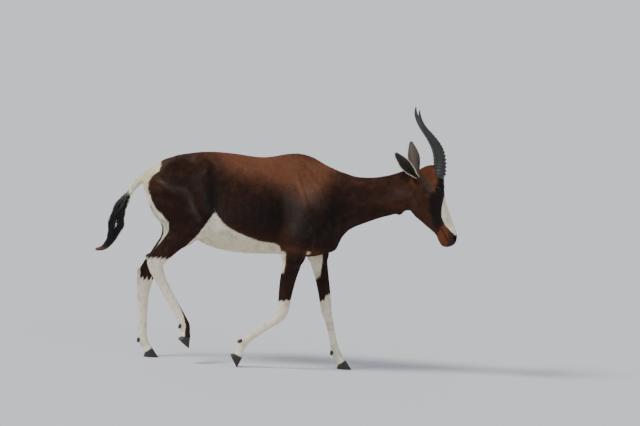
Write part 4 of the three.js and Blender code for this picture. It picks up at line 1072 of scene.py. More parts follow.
def hair_grain_group():
    """Fine streaks of short hair: along the body, turning to run down the limbs."""
    g, start, end = group("Hair grain", "ShaderNodeTree",
                          [("Vector", "Vector"), ("Scale", "Float", 300.0), ("Down", "Float", 0.0)],
                          [("Grain", "Float"), ("Clumps", "Float")])
    fine = []
    for stretch in ((0.1, 1, 1), (1, 1, 0.1)):
        v = g("ShaderNodeMapping", None, Vector=start["Vector"], Scale=stretch)
        fine.append(g.noise(v, start["Scale"], 3, 0.6).outputs["Fac"])
    mixed = g("ShaderNodeMix", {"data_type": "FLOAT"}, _0=start["Down"], _2=fine[0], _3=fine[1]).outputs[0]
    g.feed(mixed, end["Grain"])
    g.feed(g.noise(start["Vector"], 34.0, 3, 0.55).outputs["Fac"], end["Clumps"])
    return g.tree


COAT_COLOURS = ("Dark", "Saddle", "Rust", "White", "Cream", "Grey", "Black", "Leather")


def markings_group():
    """Colours of the coat, painted sheen and painted warm bounce light among them, laid out by the depths and
    shares kept on the skin and the tufts.
    """
    g, start, end = group("Coat markings", "ShaderNodeTree",
                          [(c, "Color", (0.5, 0.5, 0.5, 1)) for c in COAT_COLOURS]
                          + [("Grain", "Float", 0.5), ("Clumps", "Float", 0.5)],
                          [("Colour", "Color"), ("White", "Float"), ("Bare", "Float")])
    ragged = g.math("MULTIPLY_ADD", g.math("SUBTRACT", start["Grain"], 0.5), 7.0,
                    g.math("MULTIPLY", g.math("SUBTRACT", start["Clumps"], 0.5), 9.0))
    edge = g.math("ADD", g.read("white"), ragged)
    white = g.ramp(edge, -2.2, 2.2)
    bare = g.ramp(g.math("ADD", g.read("bare"), g.math("MULTIPLY", ragged, 0.25)), -1.2, 1.6)
    vary = g.math("MULTIPLY", g.math("SUBTRACT", start["Clumps"], 0.5), 0.7)
    colour = g.mix(g.math("ADD", g.read("saddle"), vary, clamp=True), start["Dark"], start["Saddle"])
    colour = g.mix(g.math("MULTIPLY", g.read("shade"), 0.85, clamp=True), colour, start["Black"])
    colour = g.mix(g.read("rust"), colour, start["Rust"])
    # painted sheen: grey laid over the coat where highlights on the glossy hair lie
    colour = g.mix(g.math("MULTIPLY", g.read("bloom"), 0.45, clamp=True), colour, start["Grey"])
    colour = g.mix(g.read("grey"), colour, start["Grey"])
    pale = g.mix(g.math("MULTIPLY", g.ramp(start["Clumps"], 0.45, 0.75), 0.35), start["White"], start["Grey"])
    # cream where the rust share lies on white: the tail root's own cream, and painted warm bounce light on the
    # shaded belly
    pale = g.mix(g.read("rust"), pale, start["Cream"])
    colour = g.mix(white, colour, pale)
    tone = g.math("ADD", g.math("MULTIPLY_ADD", start["Grain"], 0.5, 0.55),
                  g.math("MULTIPLY_ADD", g.read("tuft"), 0.36, 0.02))
    g.feed(g.mix(bare, g.vector("SCALE", colour, scale=tone), start["Leather"]), end["Colour"])
    g.feed(g.math("MULTIPLY", white, g.math("SUBTRACT", 1.0, bare)), end["White"])
    g.feed(bare, end["Bare"])
    return g.tree


def horn_layers_group():
    """Fine growth lines of horn and hoof, across the given direction, with wear."""
    g, start, end = group("Horn layers", "ShaderNodeTree",
                          [("Vector", "Vector"), ("Direction", "Vector", (0, 0, 1)), ("Scale", "Float", 900.0)],
                          [("Lines", "Float"), ("Wear", "Float")])
    height = g.vector("DOT_PRODUCT", start["Vector"], start["Direction"])
    bend = g.math("MULTIPLY", g.noise(start["Vector"], 45.0, 2).outputs["Fac"], 4.0)
    wave = g.math("SINE", g.math("ADD", g.math("MULTIPLY", height, start["Scale"]), bend))
    g.feed(g.math("MULTIPLY_ADD", wave, 0.5, 0.5), end["Lines"])
    g.feed(g.ramp(g.noise(start["Vector"], 130.0, 4, 0.65).outputs["Fac"], 0.4, 0.7), end["Wear"])
    return g.tree


def new_material(name):
    material = bpy.data.materials.new(name)
    material.use_nodes = True
    shader = material.node_tree.nodes["Principled BSDF"]
    g = Graph(material.node_tree)
    place = g("ShaderNodeTexCoord").outputs["Object"]
    return material, g, shader, place


def coat_material():
    s = bpy.context.scene.bontebok_coat
    material, g, shader, place = new_material("coat")
    grain = g.shared("Hair grain", hair_grain_group, Vector=place, Scale=420.0, Down=g.read("down"))
    colours = {c: (*getattr(s, c.lower()), 1) for c in COAT_COLOURS}
    marks = g.shared("Coat markings", markings_group, **colours, Grain=grain.outputs["Grain"],
                     Clumps=grain.outputs["Clumps"])
    g.feed(marks.outputs["Colour"], shader.inputs["Base Color"])
    rough = g.math("MULTIPLY_ADD", marks.outputs["White"], 0.2,
                   g.math("MULTIPLY_ADD", grain.outputs["Grain"], 0.2, 0.38))
    g.feed(g.math("MULTIPLY_ADD", marks.outputs["Bare"], -0.1, rough), shader.inputs["Roughness"])
    cells = g("ShaderNodeTexVoronoi", {"feature": "DISTANCE_TO_EDGE"}, Vector=place, Scale=620.0)
    leather = g.math("MULTIPLY", g.ramp(cells.outputs["Distance"], 0, 0.3), marks.outputs["Bare"])
    hairy = g.math("MULTIPLY", grain.outputs["Grain"], g.math("SUBTRACT", 1.0, marks.outputs["Bare"]))
    height = g.math("ADD", hairy, g.math("MULTIPLY", leather, 0.6))
    bump = g("ShaderNodeBump", None, Strength=0.35, Distance=0.0009, Height=height)
    g.feed(bump, shader.inputs["Normal"])
    shader.inputs["Specular IOR Level"].default_value = 0.14
    return material


def strand_material(name, root, tip, pale, roughness=0.42):
    """Hair that is pale where it starts in the white of the dock, and bleached at its tip."""
    material, g, shader, place = new_material(name)
    along, tuft = g.read("along"), g.read("tuft")
    colour = g.mix(g.ramp(along, 0.86, 0.97), (*root, 1), (*tip, 1))
    early = g.ramp(g.math("MULTIPLY_ADD", tuft, 0.1, along), 0.17, 0.07)
    colour = g.mix(early, colour, (*pale, 1))
    tone = g.math("ADD", g.math("MULTIPLY_ADD", tuft, 0.9, 0.5), g.math("MULTIPLY", early, 0.2))
    g.feed(g.vector("SCALE", colour, scale=tone), shader.inputs["Base Color"])
    g.feed(g.math("MULTIPLY_ADD", g.noise(place, 300.0).outputs["Fac"], 0.3, roughness - 0.15),
           shader.inputs["Roughness"])
    return material


def horn_material():
    s = bpy.context.scene.bontebok_horn
    material, g, shader, place = new_material("horn keratin")
    layers = g.shared("Horn layers", horn_layers_group, Vector=place, Direction=(-0.35, 0, 0.93), Scale=2600.0)
    ridge = g.read("ridge")
    # ridge colour: the rings' own dark, and painted shade on the side that faces forward
    colour = g.mix(g.math("MULTIPLY", ridge, 0.75), (*s.valley, 1), (*s.ridge, 1))
    colour = g.mix(g.math("MULTIPLY", layers.outputs["Wear"], 0.35), colour, (*s.worn, 1))
    stripes = g.noise(g("ShaderNodeMapping", None, Vector=place, Scale=(1, 1, 0.12)), 260.0, 3).outputs["Fac"]
    tone = g.math("MULTIPLY_ADD", stripes, 0.8, 0.6)
    g.feed(g.vector("SCALE", colour, scale=tone), shader.inputs["Base Color"])
    g.feed(g.math("MULTIPLY_ADD", layers.outputs["Wear"], 0.2, 0.36), shader.inputs["Roughness"])
    height = g.math("ADD", g.math("MULTIPLY", layers.outputs["Lines"], 0.4), stripes)
    g.feed(g("ShaderNodeBump", None, Strength=0.5, Distance=0.0007, Height=height), shader.inputs["Normal"])
    return material


def hoof_material():
    s = bpy.context.scene.bontebok_hoof
    material, g, shader, place = new_material("hoof keratin")
    layers = g.shared("Horn layers", horn_layers_group, Vector=place, Direction=(-0.2, 0, 0.98), Scale=2100.0)
    colour = g.mix(g.math("MULTIPLY", layers.outputs["Wear"], 0.5), (*s.wall, 1), (*s.worn, 1))
    g.feed(g.mix(g.math("MULTIPLY", layers.outputs["Lines"], 0.3), colour, (*s.worn, 1)),
           shader.inputs["Base Color"])
    g.feed(g.math("MULTIPLY_ADD", layers.outputs["Wear"], 0.3, 0.32), shader.inputs["Roughness"])
    g.feed(g("ShaderNodeBump", None, Strength=0.5, Distance=0.0006, Height=layers.outputs["Lines"]),
           shader.inputs["Normal"])
    return material


def eye_material(side):
    s = bpy.context.scene.bontebok_eye
    material, g, shader, place = new_material("eye " + ("left" if side > 0 else "right"))
    centre = ((EYE[0] - MIDDLE) / 1000, side * EYE[1] / 1000, EYE[2] / 1000)
    q = g.vector("SUBTRACT", place, centre)
    flat = g.vector("MULTIPLY", q, (1, 0, 1))
    radius = g.vector("LENGTH", flat)
    pupil = g.vector("LENGTH", g.vector("MULTIPLY", q, (1 / 0.0066, 0, 1 / 0.0034)))
    streaks = g.noise(g.vector("NORMALIZE", flat), 9.0, 3).outputs["Fac"]
    iris = g.mix(streaks, (*s.iris, 1), (*s.iris_edge, 1))
    colour = g.mix(g.ramp(radius, 0.0098, 0.0112), iris, (*s.white, 1))
    colour = g.mix(g.ramp(pupil, 1.1, 0.9), colour, (0.002, 0.002, 0.003, 1))
    g.feed(colour, shader.inputs["Base Color"])
    shader.inputs["Roughness"].default_value = 0.4
    shader.inputs["Specular IOR Level"].default_value = 0.05
    shader.inputs["Coat Weight"].default_value = 0.3
    shader.inputs["Coat Roughness"].default_value = 0.02
    return material


def floor_material():
    s = bpy.context.scene.bontebok_stage
    material, g, shader, place = new_material("studio floor")
    cloud = g.noise(place, 1.5, 2).outputs["Fac"]
    tone = g.math("MULTIPLY_ADD", cloud, 0.04, 0.98)
    g.feed(g.vector("SCALE", (*s.floor,), scale=tone), shader.inputs["Base Color"])
    shader.inputs["Roughness"].default_value = 0.9
    return material


def strands_tree():
    """Hair strands along a guide line: each starts somewhere on it and keeps its place in the bundle."""
    g, start, end = group(
        "Strands along a guide", "GeometryNodeTree",
        [("Guide", "Geometry"), ("Count", "Int", 600), ("Segments", "Int", 14), ("Length", "Float", 0.4),
         ("Latest root", "Float", 0.62), ("Width", "Float", 0.0012), ("Fullness", "Float", 1.0),
         ("Parting", "Float", 0.0), ("Parting place", "Float", 0.45), ("Curl", "Float", 0.8),
         ("Seed", "Int", 1), ("Material", "Material")],
        [("Strands", "Geometry")])
    guide = g("GeometryNodeMeshToCurve", None, Mesh=start["Guide"])
    spot = g("GeometryNodePoints", None, Count=start["Count"])
    line = g("GeometryNodeCurvePrimitiveLine", None, End=(0, 0, 1))
    line = g("GeometryNodeResampleCurve", None, Curve=line, Count=start["Segments"])
    copies = g("GeometryNodeInstanceOnPoints", None, Points=spot, Instance=line)
    numbered = g.store(copies, "strand", g("GeometryNodeInputIndex"), "INT", "INSTANCE")
    strands = g("GeometryNodeRealizeInstances", None, Geometry=numbered)
    which = g.stored("strand", "INT")
    t = g("GeometryNodeSplineParameter").outputs["Factor"]

    def draw(number, lo=0.0, hi=1.0):
        seed = g("ShaderNodeMath", {"operation": "ADD"}, _0=start["Seed"], _1=float(number)).outputs[0]
        value = g("FunctionNodeRandomValue", {"data_type": "FLOAT"}, _2=lo, _3=hi, ID=which, Seed=seed)
        return value.outputs[1]

    root = g.math("MULTIPLY", g.math("POWER", draw(1), 0.9), start["Latest root"])
    reach = g.math("MULTIPLY", start["Length"], draw(2, 0.75, 1.2))
    end_of_line = g.math("SUBTRACT", 1.0, draw(9, 0.0, 0.05))
    f = g.math("MINIMUM", g.math("MULTIPLY_ADD", t, reach, root), end_of_line)
    sample = g("GeometryNodeSampleCurve", {"data_type": "FLOAT", "mode": "FACTOR"}, Curves=guide, Factor=f)
    g.feed(g.stored("girth"), sample.inputs["Value"])
    place, tangent, across = (sample.outputs[k] for k in ("Position", "Tangent", "Normal"))
    side = g.vector("CROSS_PRODUCT", tangent, across)
    turn = g.math("ADD", draw(3, 0.0, 2 * math.pi),
                  g.math("MULTIPLY", g.math("MULTIPLY", t, draw(4, -1.0, 1.0)), start["Curl"]))
    rim = g.math("POWER", draw(5, 0.02, 1.0), 0.55)
    swell = g.math("MULTIPLY", g.ramp(t, 0.0, 0.45, 0.45, 1.0), rim)
    radius = g.math("MULTIPLY", g.math("MULTIPLY", swell, sample.outputs["Value"]), start["Fullness"])
    c, s = g.math("COSINE", turn), g.math("SINE", turn)
    off = g.math("SUBTRACT", f, start["Parting place"])
    hump = g.math("POWER", 2.718, g.math("MULTIPLY", g.math("MULTIPLY", off, off), -260.0))
    apart = g.math("MULTIPLY", g.math("MULTIPLY", g.math("SIGN", c), start["Parting"]), hump)
    wave = g.math("MULTIPLY", g.math("SINE", g.math("MULTIPLY_ADD", f, 26.0, draw(6, 0.0, 6.28))), 0.0022)
    sideways = g.math("ADD", g.math("MULTIPLY", c, radius), g.math("ADD", apart, wave))
    sideways = g.vector("SCALE", side, scale=sideways)
    outward = g.vector("SCALE", across, scale=g.math("MULTIPLY", s, radius))
    position = g.vector("ADD", place, g.vector("ADD", sideways, outward))
    strands = g("GeometryNodeSetPosition", None, Geometry=strands, Position=position)
    for name, value in (("along", f), ("tuft", draw(7))):
        strands = g.store(strands, name, value)
    thin = g.math("MULTIPLY", g.math("MULTIPLY", start["Width"], draw(8, 0.6, 1.3)),
                  g.math("POWER", g.math("SUBTRACT", 1.03, t), 0.6))
    profile = g("GeometryNodeCurvePrimitiveCircle", None, Resolution=3, Radius=1.0)
    tubes = g("GeometryNodeCurveToMesh", None, Curve=strands, Scale=thin)
    g.feed(profile, tubes.inputs["Profile Curve"])
    tubes.inputs["Fill Caps"].default_value = True
    whole = g("GeometryNodeRealizeInstances", None, Geometry=tubes)
    g.feed(g("GeometryNodeSetMaterial", None, Geometry=whole, Material=start["Material"]), end["Strands"])
    return g.tree


def horn_tree():
    """A tapered tube along a centre line, swollen by rings that are strong in front and fade to the tip."""
    g, start, end = group(
        "Ringed horn", "GeometryNodeTree",
        [("Centre line", "Geometry"), ("Sides", "Int", 44), ("Rows", "Int", 360), ("Rings", "Float", 17.0),
         ("Ring height", "Float", 0.1), ("First ring", "Float", 0.06), ("Last ring", "Float", 0.76),
         ("Front", "Vector", (0.9, 0.0, 0.4)), ("Seed", "Float", 0.0), ("Material", "Material")],
        [("Horn", "Geometry")])
    line = g("GeometryNodeMeshToCurve", None, Mesh=start["Centre line"])
    line = g("GeometryNodeResampleCurve", None, Curve=line, Count=start["Rows"])
    line = g.store(line, "along", g("GeometryNodeSplineParameter").outputs["Factor"])
    girth, along = g.stored("girth"), g.stored("along")
    profile = g("GeometryNodeCurvePrimitiveCircle", None, Resolution=start["Sides"], Radius=1.0)
    tube_ = g("GeometryNodeCurveToMesh", None, Curve=line, Scale=girth)
    g.feed(profile, tube_.inputs["Profile Curve"])
    tube_.inputs["Fill Caps"].default_value = True
    normal, place = g("GeometryNodeInputNormal").outputs[0], g("GeometryNodeInputPosition").outputs[0]
    shift = g.vector("ADD", place, g("ShaderNodeCombineXYZ", None, X=start["Seed"]))
    span = g.math("SUBTRACT", start["Last ring"], start["First ring"])
    share = g.math("DIVIDE", g.math("SUBTRACT", along, start["First ring"]), span)
    uneven = g.math("MULTIPLY", g.math("SUBTRACT", g.noise(shift, 16.0, 1).outputs["Fac"], 0.5), 1.1)
    phase = g.math("MULTIPLY", g.math("ADD", g.math("MULTIPLY", share, start["Rings"]), uneven), 2 * math.pi)
    ridge = g.math("POWER", g.math("MULTIPLY_ADD", g.math("COSINE", phase), 0.5, 0.5), 1.7)
    window = g.math("MULTIPLY", g.ramp(share, -0.03, 0.06), g.ramp(share, 1.04, 0.8))
    facing = g.vector("DOT_PRODUCT", normal, g.vector("NORMALIZE", start["Front"]))
    front = g.ramp(facing, -0.7, 0.75, 0.2, 1.0)
    rough = g.math("MULTIPLY_ADD", g.noise(shift, 90.0, 3).outputs["Fac"], 0.7, 0.65)
    height = g.math("MULTIPLY", g.math("MULTIPLY", ridge, window), g.math("MULTIPLY", front, rough))
    grooves = g.math("MULTIPLY", g.math("SUBTRACT", g.noise(shift, 210.0, 2).outputs["Fac"], 0.5), 0.022)
    lift = g.math("MULTIPLY", g.math("MULTIPLY_ADD", height, start["Ring height"], grooves), girth)
    shaped = g("GeometryNodeSetPosition", None, Geometry=tube_, Offset=g.vector("SCALE", normal, scale=lift))
    # The stored ridge share also darkens the side that faces forward, away from the light: painted shade, on
    # top of the real dark of the rings
    shaped = g.store(shaped, "ridge", g.math("MAXIMUM", height, g.ramp(facing, 0.1, 0.85, 0.0, 0.75)))
    whole = g("GeometryNodeRealizeInstances", None, Geometry=shaped)
    g.feed(g("GeometryNodeSetMaterial", None, Geometry=whole, Material=start["Material"]), end["Horn"])
    return g.tree


def grow(name, points, radii, tree, **inputs):
    """Runs a node tree on a guide line of points in mm and keeps the result as a plain mesh."""
    mesh = bpy.data.meshes.new(name + " guide")
    points = (np.asarray(points, float) - [MIDDLE, 0, 0]) / 1000
    mesh.from_pydata(points.tolist(), [(i, i + 1) for i in range(len(points) - 1)], [])
    girth = np.asarray(radii, np.float32) / 1000
    mesh.attributes.new("girth", "FLOAT", "POINT").data.foreach_set("value", girth)
    guide = bpy.data.objects.new(name + " guide", mesh)
    bpy.context.scene.collection.objects.link(guide)
    modifier = guide.modifiers.new("shape", "NODES")
    modifier.node_group = tree
    names = {item.name: item.identifier for item in tree.interface.items_tree if item.item_type == "SOCKET"}
    for key, value in inputs.items():
        modifier[names[key.replace("_", " ")]] = value
    depsgraph = bpy.context.evaluated_depsgraph_get()
    made = bpy.data.meshes.new_from_object(guide.evaluated_get(depsgraph), depsgraph=depsgraph)
    made.name = name
    made.polygons.foreach_set("use_smooth", np.full(len(made.polygons), True))
    bpy.data.objects.remove(guide)
    if not made.polygons:
        raise RuntimeError(name + ": the node tree made nothing")
    obj = bpy.data.objects.new(name, made)
    bpy.context.scene.collection.objects.link(obj)
    return obj


def arrays_of(obj):
    """Points in mm and triangles of a mesh object."""
    mesh = obj.data
    p = np.empty(len(mesh.vertices) * 3)
    mesh.vertices.foreach_get("co", p)
    tris = np.empty(len(mesh.loops), int)
    mesh.loops.foreach_get("vertex_index", tris)
    return p.reshape(-1, 3) * 1000 + [MIDDLE, 0, 0], tris.reshape(-1, 3)


def values_of(obj, names):
    out = {}
    for name in names:
        value = np.empty(len(obj.data.vertices), np.float32)
        obj.data.attributes[name].data.foreach_get("value", value)
        out[name] = value
    return out


MARKS = ("white", "saddle", "rust", "shade", "bloom", "bare", "grey", "down")
FLESH_NODES = ["torso", "neck", "head", "ear_left", "ear_right", "tail_dock"] + [
    f"{leg}_{part}" for leg in LEGS for part in (LEGS[leg][3], "cannon", "pastern")]


def finish_piece(obj, slot, *nodes):
    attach(obj, "root")
    if nodes:
        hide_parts(*nodes)


class BontebokOperator:
    bl_options = {"REGISTER", "UNDO"}


class BONTEBOK_OT_skin(BontebokOperator, bpy.types.Operator):
    """One closed skin over body, head, ears and legs, with the places of the markings on it"""

    bl_idname = "bontebok.skin"
    bl_label = "Skin"

    def execute(self, context):
        s = context.scene.bontebok_coat
        depth = s.depth * 1000
        p, tris = body_skin(depth)
        middle = p[tris].mean(1)
        side = np.abs(middle[:, 1])
        eye = (np.hypot(middle[:, 0] - EYE[0], middle[:, 2] - EYE[2]) < 25) & (side > 38)
        nose = (middle[:, 0] > 806) & (middle[:, 2] < 634) & (side > 8)
        near = np.flatnonzero((middle[:, 0] > 760) & (middle[:, 2] < 655))
        nose[near] |= face_distance(middle[near], "mouth") < 5
        before = len(p)
        p, tris = refine(p, tris, eye | nose)
        p[before:] = settle(p[before:], depth, 1.2, 3)
        marks = markings(p)
        normal = mesh_normals(p, tris)
        flow = lie_of_hair(p, normal)
        ear = np.zeros(len(p))
        share = np.zeros(len(p))
        for base, tip, opening in EARS:
            q, faces, kind, axis = ear_shell(base, tip, opening)
            n = mesh_normals(q, faces)
            lie = axis + 0.35 * np.sign(kind[:, 3:]) * np.cross(axis, n)
            lie = unit(lie - (lie * n).sum(1, keepdims=True) * n)
            tris = np.concatenate([tris, faces + len(p)])
            extra = markings(q, kind[:, :3].T)
            marks = {key: np.concatenate([marks[key], extra[key]]) for key in marks}
            p, flow = np.concatenate([p, q]), np.concatenate([flow, lie])
            ear = np.concatenate([ear, 1 + kind[:, 0]])
            share = np.concatenate([share, kind[:, 2]])
        marks["down"] = flow[:, 2] ** 2 / ((flow**2).sum(1) + 1e-6)
        marks["tuft"], marks["ear"], marks["share"] = np.full(len(p), 0.5), ear, share
        for axis, name in enumerate(("flow_x", "flow_y", "flow_z")):
            marks[name] = flow[:, axis]
        material = bpy.data.materials.get("coat") or coat_material()
        skin = build("skin", p, tris, marks, material)
        finish_piece(skin, "coat_dark", *FLESH_NODES)
        return {"FINISHED"}


class BONTEBOK_OT_coat(BontebokOperator, bpy.types.Operator):
    """Short flat tufts of hair over the skin, smallest on the face and the feet"""

    bl_idname = "bontebok.coat"
    bl_label = "Coat"

    def execute(self, context):
        s = context.scene.bontebok_coat
        skin = bpy.data.objects.get("skin")
        if skin is None:
            raise RuntimeError("the skin comes before the coat")
        p, tris = arrays_of(skin)
        values = values_of(skin, (*MARKS, "ear", "share", "flow_x", "flow_y", "flow_z"))
        flow = np.stack([values.pop("flow_x"), values.pop("flow_y"), values.pop("flow_z")], 1)
        ear, share = values.pop("ear"), values.pop("share")
        normal = mesh_normals(p, tris)
        data = (p, tris, normal, flow, values)
        c = p[tris].mean(1)
        is_ear = ear[tris[:, 0]] > 0
        bare = values["bare"][tris].max(1) > -1.0
        dock_hidden = (c[:, 0] < -545) & (c[:, 2] < 735)
        hip_x, neck_x, head_x = -120, 326, 632  # where haunch and flank, flank and neck, neck and head meet
        head = ~is_ear & (c[:, 0] > head_x) & ~bare
        neck = ~is_ear & (c[:, 0] > neck_x) & (c[:, 0] <= head_x) & (c[:, 2] > LEG_TOP)
        legs = ~is_ear & (c[:, 2] <= LEG_TOP) & (c[:, 0] < 600)
        trunk = ~is_ear & (c[:, 0] <= neck_x) & (c[:, 2] > LEG_TOP) & ~dock_hidden
        rng = np.random.default_rng(7)
        body, face_hair = s.body_hair * 1000, s.face_hair * 1000
        long_body = lambda q: body * (1 + 0.25 * soft_step(560 - q[:, 2], 0, 80)
                                      + 0.3 * soft_step(-430 - q[:, 0], 0, 60))
        long_neck = lambda q: body * 0.95 + 0 * q[:, 0]
        long_leg = lambda q: face_hair * (1.1 + 0.9 * soft_step(q[:, 2], 150, 460))
        long_head = lambda q: face_hair * (0.65 + 0.9 * soft_step(760 - q[:, 0], 0, 110))
        right, behind = c[:, 1] <= 0, c[:, 0] < hip_x
        haunch, flank = unwrap_trunk(-580, -110), unwrap_trunk(-130, 340)
        plan = [
            ("coat_haunch_right", trunk & right & behind, 44000, long_body, haunch, "coat_dark"),
            ("coat_haunch_left", trunk & ~right & behind, 44000, long_body, haunch, "coat_dark"),
            ("coat_flank_right", trunk & right & ~behind, 46000, long_body, flank, "coat_dark"),
            ("coat_flank_left", trunk & ~right & ~behind, 46000, long_body, flank, "coat_dark"),
            ("coat_neck", neck, 42000, long_neck, unwrap_neck, "coat_dark"),
            ("coat_head", head, 46000, long_head, unwrap_head, "coat_head"),
            ("coat_legs", legs, 46000, long_leg, unwrap_legs, "coat_white"),
        ]
        material = skin.data.materials[0]
        slim, lift = 0.17, 0.07  # width and rise of a tuft as shares of its length
        for name, chosen, count, length, unwrap, slot in plan:
            wide = lambda q, length=length: length(q) * slim
            made = tufts(rng, data, np.flatnonzero(chosen), count, length, wide, lift, unwrap)
            piece = build(name, made[0], made[1], made[2], material, smooth=False, uv=made[3])
            finish_piece(piece, slot)
        self.ears(rng, data, ear, share, is_ear, material, face_hair)
        return {"FINISHED"}

    def ears(self, rng, data, ear, share, is_ear, material, hair):
        p, tris, normal, flow, values = data
        left = p[tris[:, 0], 1] > 0

        def unwrap(q):
            out = np.zeros((len(q), 2))
            for i, (base, tip, _) in enumerate(EARS):
                mine = (q[:, 1] > 0) == (i == 1)
                axis = np.array(tip, float) - base
                along = (q[mine] - base) @ axis / (axis @ axis)
                w = unit(np.cross(axis, EARS[i][2]))
                out[mine] = np.stack([(i + 0.5 + ((q[mine] - base) @ w) / 62) / 2, 0.05 + 0.9 * along], 1)
            return out

        outer = np.flatnonzero(is_ear & (ear[tris[:, 0]] < 1.5) & (share[tris[:, 0]] > 0.04))
        inner = np.flatnonzero(is_ear & (ear[tris[:, 0]] > 1.5) & (share[tris[:, 0]] > 0.1))
        for name, chosen, count, length, lift in (
            ("coat_ears", outer, 16000, hair * 0.8, 0.08), ("coat_ears_inside", inner, 6000, hair * 1.7, 0.3)):
            made = tufts(rng, data, chosen, count, lambda q: np.full(len(q), length),
                         lambda q: np.full(len(q), 0.13 * length), lift, unwrap)
            finish_piece(build(name, made[0], made[1], made[2], material, smooth=False, uv=made[3]), "coat_ear")


class BONTEBOK_OT_horns(BontebokOperator, bpy.types.Operator):
    """Lyre horns with rings on their lower two thirds"""

    bl_idname = "bontebok.horns"
    bl_label = "Horns"

    def execute(self, context):
        s = context.scene.bontebok_horn
        tree, material = horn_tree(), horn_material()
        for side, name in NAMED_SIDES:
            line = smooth_line([*mirrored(HORN_ROOT, side), *mirrored(HORN[1:], side)], 8)
            horn = grow("horn_" + name + "_sheath", line[:, :3], line[:, 3:].mean(1), tree,
                        Rings=float(s.rings), Ring_height=s.ring_height, Seed=0.3 * side, Material=material)
            finish_piece(horn, "horn", "horn_" + name)
        return {"FINISHED"}


class BONTEBOK_OT_eyes(BontebokOperator, bpy.types.Operator):
    """Eyeballs with a raised cornea and a level pupil, and the lashes of the upper lids"""

    bl_idname = "bontebok.eyes"
    bl_label = "Eyes"

    def execute(self, context):
        rows, sides = 30, 44
        for side, name in NAMED_SIDES:
            rings = []
            for i in range(1, rows):
                lat = math.pi * i / rows
                r = EYE[3] + 0.7 * math.exp(-((math.sin(lat) * EYE[3] / 8) ** 2)) * (lat < 1.5)
                lon = 2 * np.pi * np.arange(sides) / sides
                rings.append(np.stack([EYE[0] + r * math.sin(lat) * np.cos(lon),
                                       np.full(sides, side * (EYE[1] + r * math.cos(lat))),
                                       EYE[2] + r * math.sin(lat) * np.sin(lon)], 1))
            p, tris = lathe_rings(rings)
            finish_piece(build(f"eye_{name}_ball", p, tris, None, eye_material(side)), "eye", "eye_" + name)
        rng = np.random.default_rng(3)
        hairs = []
        for side in SIDES:
            for k in range(26):
                a = math.pi * (0.12 + 0.76 * (k + rng.uniform(-0.3, 0.3)) / 25)
                x = EYE[0] + 16.5 * math.cos(a) + 2 * math.sin(a)
                z = EYE[2] + 11.2 * math.sin(a) - 2.5 * math.cos(a)
                y = EYE[1] + math.sqrt(max((EYE[3] + 2.6) ** 2 - (x - EYE[0]) ** 2 - (z - EYE[2]) ** 2, 4))
                out = np.array([0.35 * math.cos(a) + 0.15, 0.95, 0.15])
                t = np.linspace(0, 1, 6)[:, None]
                length = rng.uniform(7, 10)
                line = np.array([x, y - 0.8, z]) + length * (t * unit(out) + t**2 * np.array([0.1, -0.1, 0.35]))
                line[:, 1] *= side
                hairs.append(tube(line, 0.22 * (1.05 - t[:, 0]) ** 0.7, 3))
            u = rng.random(30)
            z = 583 + 26 * rng.random(30) + 10 * u
            roots = np.stack([792 + 34 * u + rng.normal(0, 3, 30), side * (24 - 4 * u), z], 1)
            for root in settle(roots, 1.0, 8, 4):
                out = unit([0.35 + 0.3 * rng.random(), side * rng.uniform(0.6, 1.0), rng.uniform(-0.5, 0.1)])
                t = np.linspace(0, 1, 7)[:, None]
                line = root - out + rng.uniform(10, 20) * (t * out + t**2 * np.array([0.0, 0.0, -0.25]))
                hairs.append(tube(line, 0.2 * (1.05 - t[:, 0]), 3))
        p, tris = merge(hairs)
        lash = (0.012, 0.01, 0.009)
        material = strand_material("lash hair", lash, lash, lash, 0.35)
        values = {"along": np.zeros(len(p)), "tuft": np.full(len(p), 0.5)}
        finish_piece(build("lashes_and_whiskers", p, tris, values, material), "coat_head")
        return {"FINISHED"}


def claw_mesh(outward, line_y, foot, lines):
    """One claw of a hoof: a bevelled wall with growth lines and a hollow sole."""
    c, sides, levels = CLAW, 36, 22
    middle, reach = (c["toe"] + c["heel"]) / 2, (c["toe"] - c["heel"]) / 2
    angle = 2 * np.pi * np.arange(sides) / sides
    cosine, sine = np.cos(angle), np.sin(angle)
    rings = []
    for level in np.concatenate([np.linspace(-0.12, 0.985, levels), [1.0, 1.0, 0.97]]):
        k = len(rings)
        shrink = 1.0 if k < levels else (0.97, 0.9, 0.55)[k - levels]
        narrow = np.where(cosine > 0, 1 - 0.45 * cosine**2, 1)
        inner = np.where(sine * outward < 0, 0.8, 1)
        lev = max(level, 0)
        width = c["half_width"] + (c["sole"] * narrow - c["half_width"]) * lev + 0.8 * math.sin(math.pi * lev)
        band = 1 - 0.9 * max(-level, 0) + 0.006 * math.sin(level * math.pi * 2 * lines)
        top = cosine * c["half_length"]
        u = (top + (middle + cosine * reach - top) * lev) * band * shrink + (1 - shrink) * middle
        v = sine * width * inner * band * shrink
        w = top * c["tilt"] * (1 - lev) - c["height"] * min(level, 1) + (0.9 if k == levels + 2 else 0)
        rings.append(np.stack([u, v + outward * (c["half_width"] + 1.2), w * np.ones(sides)], 1))
    p, tris = lathe_rings(rings)
    fx, fz, pitch = foot
    a = math.radians(pitch)
    x = fx + p[:, 0] * math.cos(a) + p[:, 2] * math.sin(a)
    z = fz - p[:, 0] * math.sin(a) + p[:, 2] * math.cos(a)
    return np.stack([x, line_y + p[:, 1], np.maximum(z, 0.05)], 1), tris


